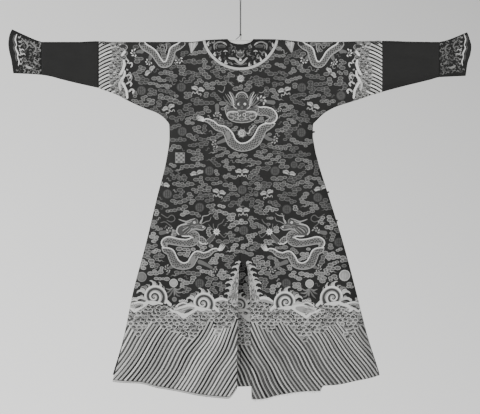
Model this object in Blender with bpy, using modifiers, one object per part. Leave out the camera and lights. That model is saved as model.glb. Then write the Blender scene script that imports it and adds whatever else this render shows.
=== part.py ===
"""A Chinese dragon robe of unlined tapestry-woven silk, hung flat on a rod by a loop of cord.

The robe's back faces -Y and its front +Y, so the wearer's left is at -X. The origin is the inner
top of the cord's loop, where a nail holds it. Lengths are in metres. A place on the cloth is given
as x, across the robe, with either its drop below the shoulder line or its turn round the rod:
0 on top of the rod, 1 where the cloth leaves it, and more below. Three walls hang over each
other, from -Y to +Y: the back, the underlap and the outer front.
"""

import math

import bmesh
import bpy
from mathutils import Vector

# Cloth and clearances
WALL = 0.0016
SEAM = 0.0003
LAY_GAP = 0.0004  # under a piece that is laid on a wall
LAP = 0.0036  # from the middle of the underlap's wall to the middle of the outer front's
EDGE_HALF = 0.0011  # half the distance between two walls' middles where a side seam joins them

# Hanger
HANG_HEIGHT = 0.2100  # the loop's inner top above the shoulder line
ROD_RADIUS = 0.0090
ROD_DROP = 0.0100
ROD_LENGTH = 1.7240
PAD_ENDS = (-0.2000, 0.2550)  # the pad's two ends, along the rod
CORD_RADIUS = 0.0013
CORD_FEET = (-0.0210, 0.0010)  # x at which the cord's two ends go into the pad
LOOP_RADIUS = 0.0045
STRAND_HALF = 0.0016  # half the distance between the two strands' middles
KNOT_DROP = -0.0315
KNOT_RADIUS = 0.0052

# Body
FOLD_GAP = 0.0009
FOLD_RADIUS = ROD_RADIUS + FOLD_GAP + WALL / 2  # of the wall's middle, over the rod
SLEEVE_SEAM = 0.6160
CUFF_SEAM = 0.8650
NECK_HALF = 0.0540
BACK_SCOOP = 0.0220
FRONT_SCOOP = 0.0838
CLOSING = 0.0450  # the width over which the walls come together at an edge
HEM_EASE = 1.1000  # below this drop the rows turn gradually into the hem's line
HEM_LEVEL = 1.4760
UNDERLAP_HEM = 1.5020
FLAP_REACH = 0.1400
FLAP_TOP = 0.3000

# How far the fold stands above the rod, over the pad and where the cloth is puffed: x, height
RISE = (
    (-0.700, 0.0),
    (-0.625, 0.0035),
    (-0.560, 0.0),
    (-0.220, 0.0),
    (-0.153, 0.0065),
    (-0.063, 0.0105),
    (0.150, 0.0105),
    (0.240, 0.0042),
    (0.275, 0.0),
    (0.360, 0.0),
    (0.540, 0.0035),
    (0.620, 0.0050),
    (0.750, 0.0015),
    (0.840, 0.0),
)
# The silhouette below the sleeves: drop, half width at the left, half width at the right
SIDE_EDGE = (
    (0.200, 0.616, 0.650),
    (0.216, 0.570, 0.616),
    (0.231, 0.531, 0.564),
    (0.249, 0.499, 0.512),
    (0.283, 0.426, 0.409),
    (0.309, 0.360, 0.363),
    (0.335, 0.326, 0.335),
    (0.361, 0.309, 0.314),
    (0.413, 0.308, 0.313),
    (0.517, 0.322, 0.335),
    (0.672, 0.361, 0.383),
    (0.880, 0.411, 0.447),
    (1.087, 0.466, 0.502),
    (1.321, 0.514, 0.560),
    (1.476, 0.556, 0.604),
)
# The underside of each sleeve: x, drop at the left, drop at the right
SLEEVE_UNDER = (
    (0.616, 0.199, 0.216),
    (0.694, 0.182, 0.195),
    (0.780, 0.161, 0.174),
    (0.824, 0.149, 0.163),
    (0.865, 0.142, 0.152),
    (0.900, 0.139, 0.150),
    (0.985, 0.135, 0.146),
)
# The top of each horse-hoof cuff: share of its length, drop at the left, drop at the right
CUFF_TOP = ((0.0, 0.0, 0.0), (0.2, -0.009, -0.005), (1.0, -0.055, -0.042))
# The open end of each cuff: share from top to bottom, x at the left, x at the right
CUFF_END = (
    (0.00, 0.994, 0.986),
    (0.15, 1.005, 0.995),
    (0.33, 1.009, 1.003),
    (0.50, 1.005, 0.999),
    (0.70, 0.996, 0.987),
    (1.00, 0.988, 0.979),
)
# The spread back vent: drop, half opening at the left, half opening at the right
BACK_VENT = (
    (0.955, SEAM, SEAM),
    (0.985, 0.0050, 0.0290),
    (1.204, 0.0110, 0.0430),
    (1.440, 0.0150, 0.0470),
    (1.550, 0.0150, 0.0510),
)
FRONT_VENT = ((0.955, SEAM, SEAM), (1.500, 0.0120, 0.0120))
NO_VENT = ((0.955, SEAM, SEAM), (1.500, SEAM, SEAM))
# The hems of the back, where the cloth hangs unevenly: x, drop
BACK_HEM_LEFT = (
    (0.012, 1.500),
    (0.053, 1.546),
    (0.132, 1.540),
    (0.276, 1.515),
    (0.359, 1.501),
    (0.442, 1.480),
    (0.556, 1.476),
)
BACK_HEM_RIGHT = (
    (0.051, 1.549),
    (0.080, 1.548),
    (0.184, 1.528),
    (0.287, 1.515),
    (0.345, 1.512),
    (0.356, 1.490),
    (0.412, 1.487),
    (0.494, 1.472),
    (0.604, 1.449),
)
FRONT_HEM = ((0.0, 1.490), (0.300, 1.482), (0.600, 1.440))
UNDERLAP_HEM_LINE = ((0.0, UNDERLAP_HEM), (0.250, 1.490), (0.600, 1.440))
# How much further each wall stands from the middle plane: drop, half depth
FULLNESS = ((0.03, 0.0), (0.30, 0.003), (0.70, 0.007), (1.10, 0.013), (1.50, 0.020))
# Soft flutes in the skirt: x at the hem, half width, height at the hem, drop where it starts
BACK_FLUTES = (
    (-0.470, 0.050, 0.008, 0.75),
    (-0.330, 0.045, -0.007, 0.85),
    (-0.190, 0.055, 0.009, 0.65),
    (-0.050, 0.040, 0.006, 0.95),
    (0.090, 0.045, 0.010, 0.90),
    (0.230, 0.055, -0.007, 0.75),
    (0.370, 0.050, 0.010, 0.70),
    (0.510, 0.045, -0.006, 0.95),
)
FRONT_FLUTES = (
    (-0.420, 0.055, 0.009, 0.70),
    (-0.260, 0.050, -0.007, 0.90),
    (-0.110, 0.050, 0.008, 0.80),
    (0.060, 0.045, -0.006, 0.95),
    (0.200, 0.055, 0.010, 0.70),
    (0.350, 0.050, -0.007, 0.85),
    (0.490, 0.050, 0.008, 0.75),
)
# The overlap's upper edge, from the throat to the right underarm, and its facing's lower edge
OVERLAP_EDGE = (
    (0.000, 0.073),
    (0.030, 0.101),
    (0.080, 0.150),
    (0.150, 0.203),
    (0.230, 0.262),
    (0.290, 0.320),
    (0.306, 0.366),
)
LAPEL_EDGE = (
    (0.000, 0.169),
    (0.048, 0.196),
    (0.100, 0.232),
    (0.160, 0.276),
    (0.222, 0.330),
    (0.262, 0.385),
    (0.272, 0.430),
)

# Collar: facings laid on the cloth round the neck, each with a pale edging outside it
BACK_COLLAR_RADIUS = 0.1575
BACK_COLLAR_CENTRE = -0.0454
FRONT_COLLAR_HALF = 0.1540
FRONT_COLLAR_DEPTH = 0.1800
UNDER_COLLAR_FROM = 32  # degrees from straight down at which the overlap covers the collar
EDGING_WIDTH = 0.0110
EDGING_WALL = 0.0022
CUTTER_DEPTH = 0.0900
CUTTER_TOP = -0.0600

# Fastenings: the ball's x, drop and depth, how far from it its loop starts, how far the loop
# lies off the outer front's middle, and the way it runs back over the cloth, in x and drop
BALL_RADIUS = 0.0045
LOOP_WIDTH = 0.0050
LOOP_LENGTH = 0.0380
FASTENINGS = (
    ("neck", 0.0080, 0.0765, 0.0326, 0.0042, 0.0041, -0.55, 0.83),
    ("chest", 0.1525, 0.2010, 0.0300, 0.0037, 0.0041, -0.60, 0.80),
    ("underarm", 0.3201, 0.3900, 0.0083, 0.0007, 0.0055, -1.0, 0.10),
    ("side_upper", 0.3830, 0.6520, 0.0084, 0.0032, 0.0026, -1.0, 0.0),
    ("side_lower", 0.4205, 0.7760, 0.0094, 0.0037, 0.0045, -1.0, 0.0),
)

# Grid lines of the walls: shares of the width, turns over the rod, and drops below it
SHARES = (0, 0.06, 0.13, 0.20, 0.275, 0.35, 0.425, 0.50, 0.575,
          0.65, 0.725, 0.80, 0.875, 0.945, 1)
TURNS = (0.0, 0.333, 0.667, 0.85, 1.0)
BACK_DROPS = (0.0112, 0.030, 0.080, 0.140)
FRONT_DROPS = (0.0307, 0.0475, 0.060, 0.0684, 0.0730, 0.100, 0.140)
LEVELS = (0.200, 0.216, 0.231, 0.249, 0.266, 0.283, 0.309, 0.335, 0.361, 0.413,
          0.500, 0.620, 0.740, 0.860, 0.955, 1.020, 1.120, 1.220, 1.320, 1.410, 1.476)
OVERLAP_FIRST = 0.500  # the overlap's first straight row
OVERLAP_PARTS = (0.0, 0.18, 0.38, 0.66)  # its rows above that one, from its upper edge


def smoothstep(low, high, value):
    share = min(max((value - low) / (high - low), 0.0), 1.0)
    return share * share * (3 - 2 * share)


def mix(a, b, share):
    return a + (b - a) * share


def even(count):
    return [k / count for k in range(count + 1)]


def column(table, number):
    """A table's first column with one of its others, as pairs."""
    return [(row[0], row[number]) for row in table]


def smooth(pairs, at):
    """The value at a key, on a curve through the pairs that never overshoots them."""
    keys = [pair[0] for pair in pairs]
    values = [pair[1] for pair in pairs]
    if at <= keys[0]:
        return values[0]
    if at >= keys[-1]:
        return values[-1]
    steps = [b - a for a, b in zip(keys, keys[1:])]
    rises = [(b - a) / step for a, b, step in zip(values, values[1:], steps)]
    slopes = [rises[0]]
    for before, after in zip(rises, rises[1:]):
        slopes.append(2 * before * after / (before + after) if before * after > 0 else 0.0)
    slopes.append(rises[-1])
    i = max(k for k in range(len(steps)) if keys[k] <= at)
    t = (at - keys[i]) / steps[i]
    bend = (1 - t) * slopes[i] * steps[i] - t * slopes[i + 1] * steps[i]
    return mix(values[i], values[i + 1], t * t * (3 - 2 * t)) + t * (1 - t) * bend


def along(points, share):
    """The point at a share of the way through a list of plane points, on smooth curves."""
    at = share * (len(points) - 1)
    return tuple(smooth([(i, p[axis]) for i, p in enumerate(points)], at) for axis in (0, 1))


# --- the surfaces of the body -----------------------------------------------------------------


def side_of(x_sign):
    """The column of a table that belongs to the robe's left or right."""
    return 1 if x_sign < 0 else 2


def edge_half_width(x_sign, drop):
    """The half width of the body at a drop: out to the sleeve seam, underarm or side seam."""
    return min(SLEEVE_SEAM - SEAM, smooth(column(SIDE_EDGE, side_of(x_sign)), drop))


def outline_points(x_sign):
    """The lower edge of a sleeve from the cuff to the underarm, and on down the side seam."""
    number = side_of(x_sign)
    under = [(row[0], row[number]) for row in reversed(SLEEVE_UNDER)]
    side = [(row[number], row[0]) for row in SIDE_EDGE if row[number] < SLEEVE_SEAM]
    fine = []
    for (x0, z0), (x1, z1) in zip(under + side, (under + side)[1:]):
        fine += [(mix(x0, x1, k / 6), mix(z0, z1, k / 6)) for k in range(6)]
    return fine + [side[-1]]


OUTLINES = {x_sign: outline_points(x_sign) for x_sign in (-1, 1)}


def closing(x, drop):
    """0 at the seamed edges and 1 away from them."""
    points = OUTLINES[-1 if x < 0 else 1]
    nearest = min(math.hypot(abs(x) - px, drop - pz) for px, pz in points)
    share = min(nearest / CLOSING, 1.0)
    return 1 - (1 - share) ** 2


def fold_radius(x):
    return FOLD_RADIUS + smooth(RISE, x)


def fold_top(x):
    """The drop of the wall's middle on top of the rod or the pad."""
    return ROD_DROP - fold_radius(x)


def turn_at(x, drop):
    if drop >= ROD_DROP:
        return 1 + (drop - ROD_DROP) / (FOLD_RADIUS * math.pi / 2)
    cosine = (ROD_DROP - drop) / fold_radius(x)
    return math.acos(max(-1.0, min(1.0, cosine))) / (math.pi / 2)


def drop_at(x, turn):
    if turn >= 1:
        return ROD_DROP + (turn - 1) * FOLD_RADIUS * math.pi / 2
    return ROD_DROP - fold_radius(x) * math.cos(turn * math.pi / 2)


def flutes(table, x, drop):
    side = -1 if x < 0 else 1
    fan = edge_half_width(side, max(drop, 0.40)) / edge_half_width(side, HEM_LEVEL)
    return sum(
        height * smoothstep(start, 1.50, drop) * math.exp(-(((x - at * fan) / width) ** 2))
        for at, width, height, start in table
    )


def half_depth(x, turn, table):
    drop = drop_at(x, turn)
    radius = mix(fold_radius(x), FOLD_RADIUS, smoothstep(0.03, 0.40, drop))
    fold = radius * math.sin(min(turn, 1.0) * math.pi / 2)
    full = fold + smooth(FULLNESS, drop) + flutes(table, x, drop)
    return mix(min(EDGE_HALF, fold), full, closing(x, drop))


def on_back(x, turn):
    return Vector((x, -half_depth(x, turn, BACK_FLUTES), -HANG_HEIGHT - drop_at(x, turn)))


def on_underlap(x, turn):
    return Vector((x, half_depth(x, turn, FRONT_FLUTES), -HANG_HEIGHT - drop_at(x, turn)))


def on_front(x, turn):
    """The outer front, which stands off the underlap from the middle of the robe rightwards."""
    drop = drop_at(x, turn)
    lap = LAP * smoothstep(0.010, 0.060, drop) * smoothstep(-0.300, -0.170, x)
    return on_underlap(x, turn) + Vector((0, lap, 0))


def moved_out(surface, x, drop, lift):
    """A place on a front surface, moved away from the inside of the robe along its normal."""
    turn = turn_at(x, drop)
    across = surface(x + 0.0005, turn) - surface(x - 0.0005, turn)
    down = surface(x, turn + 0.01) - surface(x, turn - 0.01)
    normal = across.cross(down).normalized()
    if normal.y < 0:
        normal.negate()
    return surface(x, turn) + normal * lift


# --- making objects ---------------------------------------------------------------------------


def clear_scene():
    for thing in list(bpy.data.objects):
        bpy.data.objects.remove(thing)


def material(name, colour, roughness):
    made = bpy.data.materials.new(name)
    made.use_nodes = True
    shader = made.node_tree.nodes["Principled BSDF"]
    shader.inputs["Base Color"].default_value = (*colour, 1)
    shader.inputs["Roughness"].default_value = roughness
    return made


def new_collection(name):
    made = bpy.data.collections.new(name)
    bpy.context.scene.collection.children.link(made)
    return made


def add_mesh(name, bm, look, collection):
    mesh = bpy.data.meshes.new(name)
    bm.to_mesh(mesh)
    bm.free()
    mesh.shade_smooth()
    thing = bpy.data.objects.new(name, mesh)
    if look:
        thing.data.materials.append(look)
    collection.objects.link(thing)
    return thing


def cloth(name, columns, rows, place, look, collection, wall=WALL, lift=0.0, tube=False):
    """A wall of cloth: a grid whose crossings are put where place(column, row) says, thickened.

    Its middle stands lift away from the grid. A tube's first and last columns are joined.
    """
    bm = bmesh.new()
    across, down = len(columns) - 1, len(rows) - 1
    bmesh.ops.create_grid(bm, x_segments=across, y_segments=down, size=0.5)
    for corner in bm.verts:
        i = round((corner.co.x + 0.5) * across)
        j = round((corner.co.y + 0.5) * down)
        corner.co = place(columns[i], rows[j])
    if tube:
        bmesh.ops.remove_doubles(bm, verts=bm.verts, dist=1e-5)
    bmesh.ops.triangulate(bm, faces=bm.faces)
    thing = add_mesh(name, bm, look, collection)
    shell = thing.modifiers.new("wall", "SOLIDIFY")
    shell.thickness = wall
    shell.offset = 2 * lift / wall
    return thing


# --- the body ---------------------------------------------------------------------------------


def turns_down(drops):
    """The turns of a wall's rows, from the top of the fold to the hem."""
    return list(TURNS) + [turn_at(0, drop) for drop in drops + LEVELS]


def inner_edge(x_sign, level, scoop, vent):
    """The half width at which a wall starts: the neck's curve, the centre seam or a vent."""
    share = (level - fold_top(0)) / scoop
    if share < 1:
        return NECK_HALF * math.sqrt(1 - share * share)
    return smooth(column(vent, side_of(x_sign)), level)


def row_drop(level, hem, x):
    """A row's drop at x: level above, and turning into the hem's own line near the bottom."""
    ease = smoothstep(HEM_EASE, HEM_LEVEL, level)
    return level + (smooth(hem, abs(x)) - HEM_LEVEL) * ease


def wall_place(surface, x_sign, scoop, vent, hem):
    """The function from a share of the width and a turn to a place on one wall."""

    def place(share, turn):
        level = drop_at(0, turn)
        inner = inner_edge(x_sign, level, scoop, vent)
        x = x_sign * mix(inner, edge_half_width(x_sign, level), share)
        if turn < 1:
            return surface(x, turn)
        return surface(x, turn_at(x, row_drop(level, hem, x)))

    return place


BACKS = {
    -1: wall_place(on_back, -1, BACK_SCOOP, BACK_VENT, BACK_HEM_LEFT),
    1: wall_place(on_back, 1, BACK_SCOOP, BACK_VENT, BACK_HEM_RIGHT),
}
FRONTS = {
    -1: wall_place(on_front, -1, FRONT_SCOOP, FRONT_VENT, FRONT_HEM),
    1: wall_place(on_underlap, 1, FRONT_SCOOP, NO_VENT, UNDERLAP_HEM_LINE),
}


def width_of_cloth(name, x_sign, look, collection):
    """One width: up the back from its hem, over the shoulder, and down the front."""

    def place(share, row):
        toward, turn = row
        return (BACKS if toward < 0 else FRONTS)[x_sign](share, turn)

    rows = [(-1, turn) for turn in turns_down(BACK_DROPS)][::-1]
    rows += [(1, turn) for turn in turns_down(FRONT_DROPS)][1:]
    shares = SHARES if x_sign > 0 else SHARES[::-1]
    return cloth(name, shares, rows, place, look, collection)


def overlap_place(share, row):
    """A place on the overlap. A row is a part of the way to its first straight row, or a level."""
    part, level = row
    if part < 1:
        top_x, top_drop = along(OVERLAP_EDGE, share)
        drop = mix(top_drop, OVERLAP_FIRST, part)
        x = max(mix(top_x, edge_half_width(1, OVERLAP_FIRST) * share, part), SEAM)
        return on_front(x, turn_at(x, drop))
    inner = smooth(column(FRONT_VENT, 2), level)
    x = mix(inner, edge_half_width(1, level), share)
    return on_front(x, turn_at(x, row_drop(level, FRONT_HEM, x)))


def overlap_rows(last):
    straight = [(1, level) for level in LEVELS if OVERLAP_FIRST <= level <= last]
    return [(part, OVERLAP_FIRST) for part in OVERLAP_PARTS] + straight


def inner_flap(look, collection):
    """The underlap's extension behind the outer front, seen through the back vent."""
    middle = [level for level in LEVELS if 0.42 < level < 1.45]
    drops = [FLAP_TOP, 0.40] + middle + [UNDERLAP_HEM]

    def place(share, drop):
        reach = FLAP_REACH * mix(0.55, 1.0, smoothstep(FLAP_TOP, 0.70, drop))
        x = -mix(reach, SEAM, share)
        return on_underlap(x, turn_at(x, drop))

    cloth("inner_flap", even(4), drops, place, look, collection)


# --- sleeves and cuffs ------------------------------------------------------------------------

WRAP_ANGLES = (0, 30, 60, 90)
BELOW_ROD = (0.12, 0.30, 0.50, 0.68, 0.82, 0.92, 1.0)


def tube_columns(x_sign):
    """Places round a sleeve: the side, the angle round the rod, and the share down below it."""
    down = [(angle, 0.0) for angle in WRAP_ANGLES] + [(90, share) for share in BELOW_ROD]
    back = [(-1, angle, share) for angle, share in down]
    front = [(1, angle, share) for angle, share in down]
    whole = back + front[::-1][1:]
    return whole if x_sign > 0 else whole[::-1]


def tube_place(x_sign, x, where, top, bottom, lens):
    """A place on a sleeve, whose section wraps the rod and closes in a fold at the bottom.

    As lens goes from 0 to 1 the section turns into a flat lens.
    """
    side, angle, share = where
    turned = math.radians(angle)
    radius = fold_radius(x_sign * min(x, CUFF_SEAM))
    if share == 0:
        drop = top + radius * (1 - math.cos(turned))
        wrapped = radius * math.sin(turned)
    else:
        drop = mix(top + radius, bottom, share)
        wrapped = radius * (1 - (1 - min((bottom - drop) / CLOSING, 1.0)) ** 2)
    down = min(max((drop - top) / (bottom - top), 0.0), 1.0)
    flat = 0.0085 * (4 * down * (1 - down)) ** 0.5
    return Vector((x_sign * x, side * mix(wrapped, flat, lens), -HANG_HEIGHT - drop))


def sleeve(name, x_sign, look, collection):
    """The plain dark length between the patterned upper sleeve and the cuff."""
    start, end = SLEEVE_SEAM + SEAM, CUFF_SEAM - SEAM

    def place(where, share):
        x = mix(start, end, share)
        bottom = smooth(column(SLEEVE_UNDER, side_of(x_sign)), x)
        return tube_place(x_sign, x, where, fold_top(x_sign * x), bottom, 0.0)

    cloth(name, tube_columns(x_sign), even(5), place, look, collection, tube=True)


def cuff(name, x_sign, look, collection):
    """A horse-hoof cuff, whose upper side flares out past the sleeve's line."""
    number = side_of(x_sign)
    start = CUFF_SEAM + SEAM

    def place(where, share):
        _, angle, below = where
        down = mix(0.08 * angle / 90, 1.0, below)
        x = mix(start, smooth(column(CUFF_END, number), down), share)
        top = fold_top(x_sign * CUFF_SEAM) + smooth(column(CUFF_TOP, number), share)
        bottom = smooth(column(SLEEVE_UNDER, number), x)
        return tube_place(x_sign, x, where, top, bottom, smoothstep(0.0, 0.8, share))

    cloth(name, tube_columns(x_sign), even(5), place, look, collection, tube=True)


# --- collar -----------------------------------------------------------------------------------


def arc(half, depth, centre, first, last, count):
    """Points of an ellipse, (x, drop), between two angles in degrees from straight down."""
    angles = [math.radians(mix(first, last, share)) for share in even(count)]
    return [(half * math.sin(a), centre + depth * math.cos(a)) for a in angles]


def raised(points, first=True, last=True):
    """A curve with its ends carried straight up past the top of the robe."""
    head = [(points[0][0], CUTTER_TOP)] if first else []
    tail = [(points[-1][0], CUTTER_TOP)] if last else []
    return head + points + tail


def offset_curve(points, width):
    """A curve that runs to the right, moved down by a width at right angles to itself."""
    moved = []
    for i, (x, drop) in enumerate(points):
        before, after = points[max(i - 1, 0)], points[min(i + 1, len(points) - 1)]
        run, fall = after[0] - before[0], after[1] - before[1]
        length = math.hypot(run, fall)
        moved.append((x - fall / length * width, drop + run / length * width))
    return moved


def cutter(name, outline, toward, cutters):
    """A prism with an outline of (x, drop) that reaches from the middle plane to one side."""
    bm = bmesh.new()
    face = bm.faces.new([bm.verts.new((x, 0, -HANG_HEIGHT - drop)) for x, drop in outline])
    made = bmesh.ops.extrude_face_region(bm, geom=[face])
    for corner in made["geom"]:
        if isinstance(corner, bmesh.types.BMVert):
            corner.co.y = toward * CUTTER_DEPTH
    bmesh.ops.recalc_face_normals(bm, faces=bm.faces)
    thing = add_mesh(name + "_outline", bm, None, cutters)
    thing.hide_render = True
    thing.display_type = "WIRE"
    return thing


def laid(name, grid, outline, look, homes, wall=WALL):
    """A piece laid on a wall: the wall's own grid moved out, cut to an outline."""
    columns, rows, place, toward = grid
    lift = WALL / 2 + LAY_GAP + wall / 2
    thing = cloth(name, columns, rows, place, look, homes[0], wall=wall, lift=lift)
    cut = thing.modifiers.new("outline", "BOOLEAN")
    cut.operation = "INTERSECT"
    cut.solver = "EXACT"
    cut.object = cutter(name, outline, toward, homes[1])


def collar_turns(drops):
    """The rows that a collar piece can reach, from just off the top of the fold."""
    return [0.04] + [turn for turn in turns_down(drops) if 0 < turn < turn_at(0, 0.217)]


def back_collar(looks, homes):
    near = [share for share in SHARES if share < 0.5]
    columns = [(-1, share) for share in near[::-1]] + [(1, share) for share in near]

    def place(where, turn):
        x_sign, share = where
        return BACKS[x_sign](share, turn)

    grid = (columns, collar_turns(BACK_DROPS)[::-1], place, -1)
    inner = arc(NECK_HALF + SEAM, BACK_SCOOP + SEAM, fold_top(0), -90, 90, 18)
    radius = BACK_COLLAR_RADIUS
    facing = arc(radius, radius, BACK_COLLAR_CENTRE, -90, 90, 28)
    outline = raised(facing) + raised(inner)[::-1]
    laid("collar_back", grid, outline, looks["facing"], homes)
    near_edge = arc(radius + 2 * SEAM, radius + 2 * SEAM, BACK_COLLAR_CENTRE, -90, 90, 28)
    far = radius + 2 * SEAM + EDGING_WIDTH
    far_edge = arc(far, far, BACK_COLLAR_CENTRE, -90, 90, 28)
    outline = raised(far_edge) + raised(near_edge)[::-1]
    laid("edging_back", grid, outline, looks["edging"], homes, EDGING_WALL)


def front_arc(widened, first, last):
    half, depth = FRONT_COLLAR_HALF + widened, FRONT_COLLAR_DEPTH + widened
    return arc(half, depth, fold_top(0), first, last, 14)


def front_collar(looks, homes):
    """The collar on the outer front's left half, and on what shows of the underlap."""
    near = [share for share in SHARES if share < 0.5]
    turns = collar_turns(FRONT_DROPS)
    left = (near[::-1], turns, FRONTS[-1], 1)
    right = (near, turns, FRONTS[1], 1)
    near_gap, far_gap = 2 * SEAM, 2 * SEAM + EDGING_WIDTH
    outline = raised(front_arc(0, -90, 0))
    laid("collar_front_left", left, outline, looks["facing"], homes)
    outline = raised(front_arc(far_gap, -90, 0), last=False)
    outline += raised(front_arc(near_gap, -90, 0), last=False)[::-1]
    laid("edging_front_left", left, outline, looks["edging"], homes, EDGING_WALL)
    covered = [along(OVERLAP_EDGE, share) for share in even(24)]
    above = [(x, drop) for x, drop in offset_curve(covered, -0.0015) if 0.004 < x < 0.074]
    first = UNDER_COLLAR_FROM
    outline = [(0.0, CUTTER_TOP), (0.0, 0.060)] + above + raised(front_arc(0, first, 90), False)
    laid("collar_front_right", right, outline, looks["facing"], homes)
    outline = raised(front_arc(far_gap, first, 90), False)
    outline += raised(front_arc(near_gap, first, 90), False)[::-1]
    laid("edging_front_right", right, outline, looks["edging"], homes, EDGING_WALL)


def lapel(looks, homes):
    """The facing along the overlap's curved upper edge, and its edging."""
    grid = (SHARES, overlap_rows(0.63), overlap_place, 1)
    edge = [along(LAPEL_EDGE, share) for share in even(16)]
    beyond = edge_half_width(1, OVERLAP_FIRST) + 0.05
    outline = [(0.0, CUTTER_TOP)] + edge + [(beyond, edge[-1][1]), (beyond, CUTTER_TOP)]
    laid("collar_lapel", grid, outline, looks["facing"], homes)
    outline = offset_curve(edge, 2 * SEAM + EDGING_WIDTH)
    outline += offset_curve(edge, 2 * SEAM)[::-1]
    laid("edging_lapel", grid, outline, looks["edging"], homes, EDGING_WALL)


# --- fastenings -------------------------------------------------------------------------------


def ball(name, centre, look, collection):
    bm = bmesh.new()
    bmesh.ops.create_uvsphere(bm, u_segments=10, v_segments=7, radius=BALL_RADIUS)
    thing = add_mesh(name, bm, look, collection)
    thing.location = centre


def fastening(label, x, drop, depth, start, lift, run, fall, look, collection):
    """A ball button at the overlap's edge, and the flat loop that runs from it over the cloth."""
    ball("button_" + label, (x, depth, -HANG_HEIGHT - drop), look, collection)

    def place(share, side):
        away = mix(start, LOOP_LENGTH, share)
        across = (side - 0.5) * LOOP_WIDTH
        px, pz = x + run * away - fall * across, drop + fall * away + run * across
        return moved_out(on_front, px, pz, lift)

    cloth("loop_" + label, even(5), even(1), place, look, collection)


# --- hanger -----------------------------------------------------------------------------------


def rod(look, collection):
    bm = bmesh.new()
    bmesh.ops.create_cone(bm, cap_ends=True, segments=20, radius1=ROD_RADIUS,
                          radius2=ROD_RADIUS, depth=ROD_LENGTH)
    thing = add_mesh("rod", bm, look, collection)
    thing.rotation_euler = (0, math.pi / 2, 0)
    thing.location = (0, 0, -HANG_HEIGHT - ROD_DROP)


def pad(look, collection):
    """A soft sleeve on the rod under the collar, thickest at the neck."""
    stations = [mix(*PAD_ENDS, share) for share in even(14)]
    outer = [(x, fold_radius(x) - WALL / 2 - FOLD_GAP - SEAM) for x in stations]
    bore = ROD_RADIUS + SEAM
    profile = outer + [(stations[-1], bore), (stations[0], bore)]
    bm = bmesh.new()
    corners = [bm.verts.new((x, radius, 0)) for x, radius in profile]
    for a, b in zip(corners, corners[1:] + corners[:1]):
        bm.edges.new((a, b))
    thing = add_mesh("rod_pad", bm, look, collection)
    thing.location = (0, 0, -HANG_HEIGHT - ROD_DROP)
    spun = thing.modifiers.new("spin", "SCREW")
    spun.axis = "X"
    spun.steps = 20
    spun.render_steps = 20
    spun.use_merge_vertices = True
    spun.merge_threshold = 1e-5
    spun.use_normal_flip = True


def cord_points():
    """One cord from the pad, up through the knot, round the nail and down to the pad again."""
    foot = ROD_DROP - fold_radius(0) + WALL / 2 + FOLD_GAP - 0.0014
    crown = -HANG_HEIGHT + LOOP_RADIUS
    reach = LOOP_RADIUS + CORD_RADIUS
    left, right = CORD_FEET
    rising = [(left, foot), (mix(left, -STRAND_HALF, 0.55), -0.0200),
              (mix(left, -STRAND_HALF, 0.86), -0.0256), (-STRAND_HALF - 0.0004, -0.0290),
              (-STRAND_HALF, KNOT_DROP - 0.0015)]
    strand = [(STRAND_HALF, -0.045), (STRAND_HALF, -0.080), (STRAND_HALF, -0.115),
              (STRAND_HALF, -0.150), (STRAND_HALF + 0.0002, -0.176), (0.0032, -0.190)]
    over = [(-reach * math.cos(math.radians(a)), crown - reach * math.sin(math.radians(a)))
            for a in range(0, 181, 22)]
    falling = [(STRAND_HALF, KNOT_DROP), (STRAND_HALF + 0.0003, -0.0260), (0.0016, -0.0180),
               (right, foot)]
    path = rising + [(-x, drop) for x, drop in strand] + over + strand[::-1] + falling
    return [Vector((x, 0, -HANG_HEIGHT - drop)) for x, drop in path]


def cord(look, collection):
    curve = bpy.data.curves.new("hanging_cord", "CURVE")
    curve.dimensions = "3D"
    curve.bevel_depth = CORD_RADIUS
    curve.bevel_resolution = 1
    curve.use_fill_caps = True
    points = cord_points()
    spline = curve.splines.new("POLY")
    spline.points.add(len(points) - 1)
    for point, place in zip(spline.points, points):
        point.co = (*place, 1)
    thing = bpy.data.objects.new("hanging_cord", curve)
    thing.data.materials.append(look)
    collection.objects.link(thing)


def knot(look, collection):
    """The turn of cord that binds the two strands above the rod."""
    bpy.ops.mesh.primitive_torus_add(
        major_segments=16, minor_segments=8, major_radius=KNOT_RADIUS,
        minor_radius=CORD_RADIUS, location=(0, 0, -HANG_HEIGHT - KNOT_DROP))
    thing = bpy.context.object
    thing.name = "knot"
    thing.data.materials.append(look)
    thing.data.shade_smooth()
    for owner in list(thing.users_collection):
        owner.objects.unlink(thing)
    collection.objects.link(thing)


def main():
    clear_scene()
    robe = new_collection("dragon_robe")
    homes = (robe, new_collection("outlines"))
    homes[1].hide_render = True
    silk = material("patterned_silk", (0.10, 0.10, 0.10), 0.75)
    plain = material("plain_dark_silk", (0.028, 0.028, 0.029), 0.6)
    looks = {
        "facing": material("facing_silk", (0.07, 0.07, 0.07), 0.75),
        "edging": material("pale_edging", (0.52, 0.52, 0.50), 0.7),
    }
    width_of_cloth("left_width", -1, silk, robe)
    width_of_cloth("right_width", 1, silk, robe)
    cloth("overlap", SHARES, overlap_rows(HEM_LEVEL), overlap_place, silk, robe)
    inner_flap(silk, robe)
    for label, x_sign in (("left", -1), ("right", 1)):
        sleeve("sleeve_" + label, x_sign, plain, robe)
        cuff("cuff_" + label, x_sign, looks["facing"], robe)
    back_collar(looks, homes)
    front_collar(looks, homes)
    lapel(looks, homes)
    buttons = material("cord_button", (0.06, 0.06, 0.06), 0.6)
    for row in FASTENINGS:
        fastening(*row, buttons, robe)
    rod(material("painted_rod", (0.62, 0.62, 0.60), 0.5), robe)
    pad(material("cotton_pad", (0.66, 0.66, 0.64), 0.9), robe)
    hanging = material("hanging_cord", (0.10, 0.10, 0.10), 0.8)
    cord(hanging, robe)
    knot(hanging, robe)


main()
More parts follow.
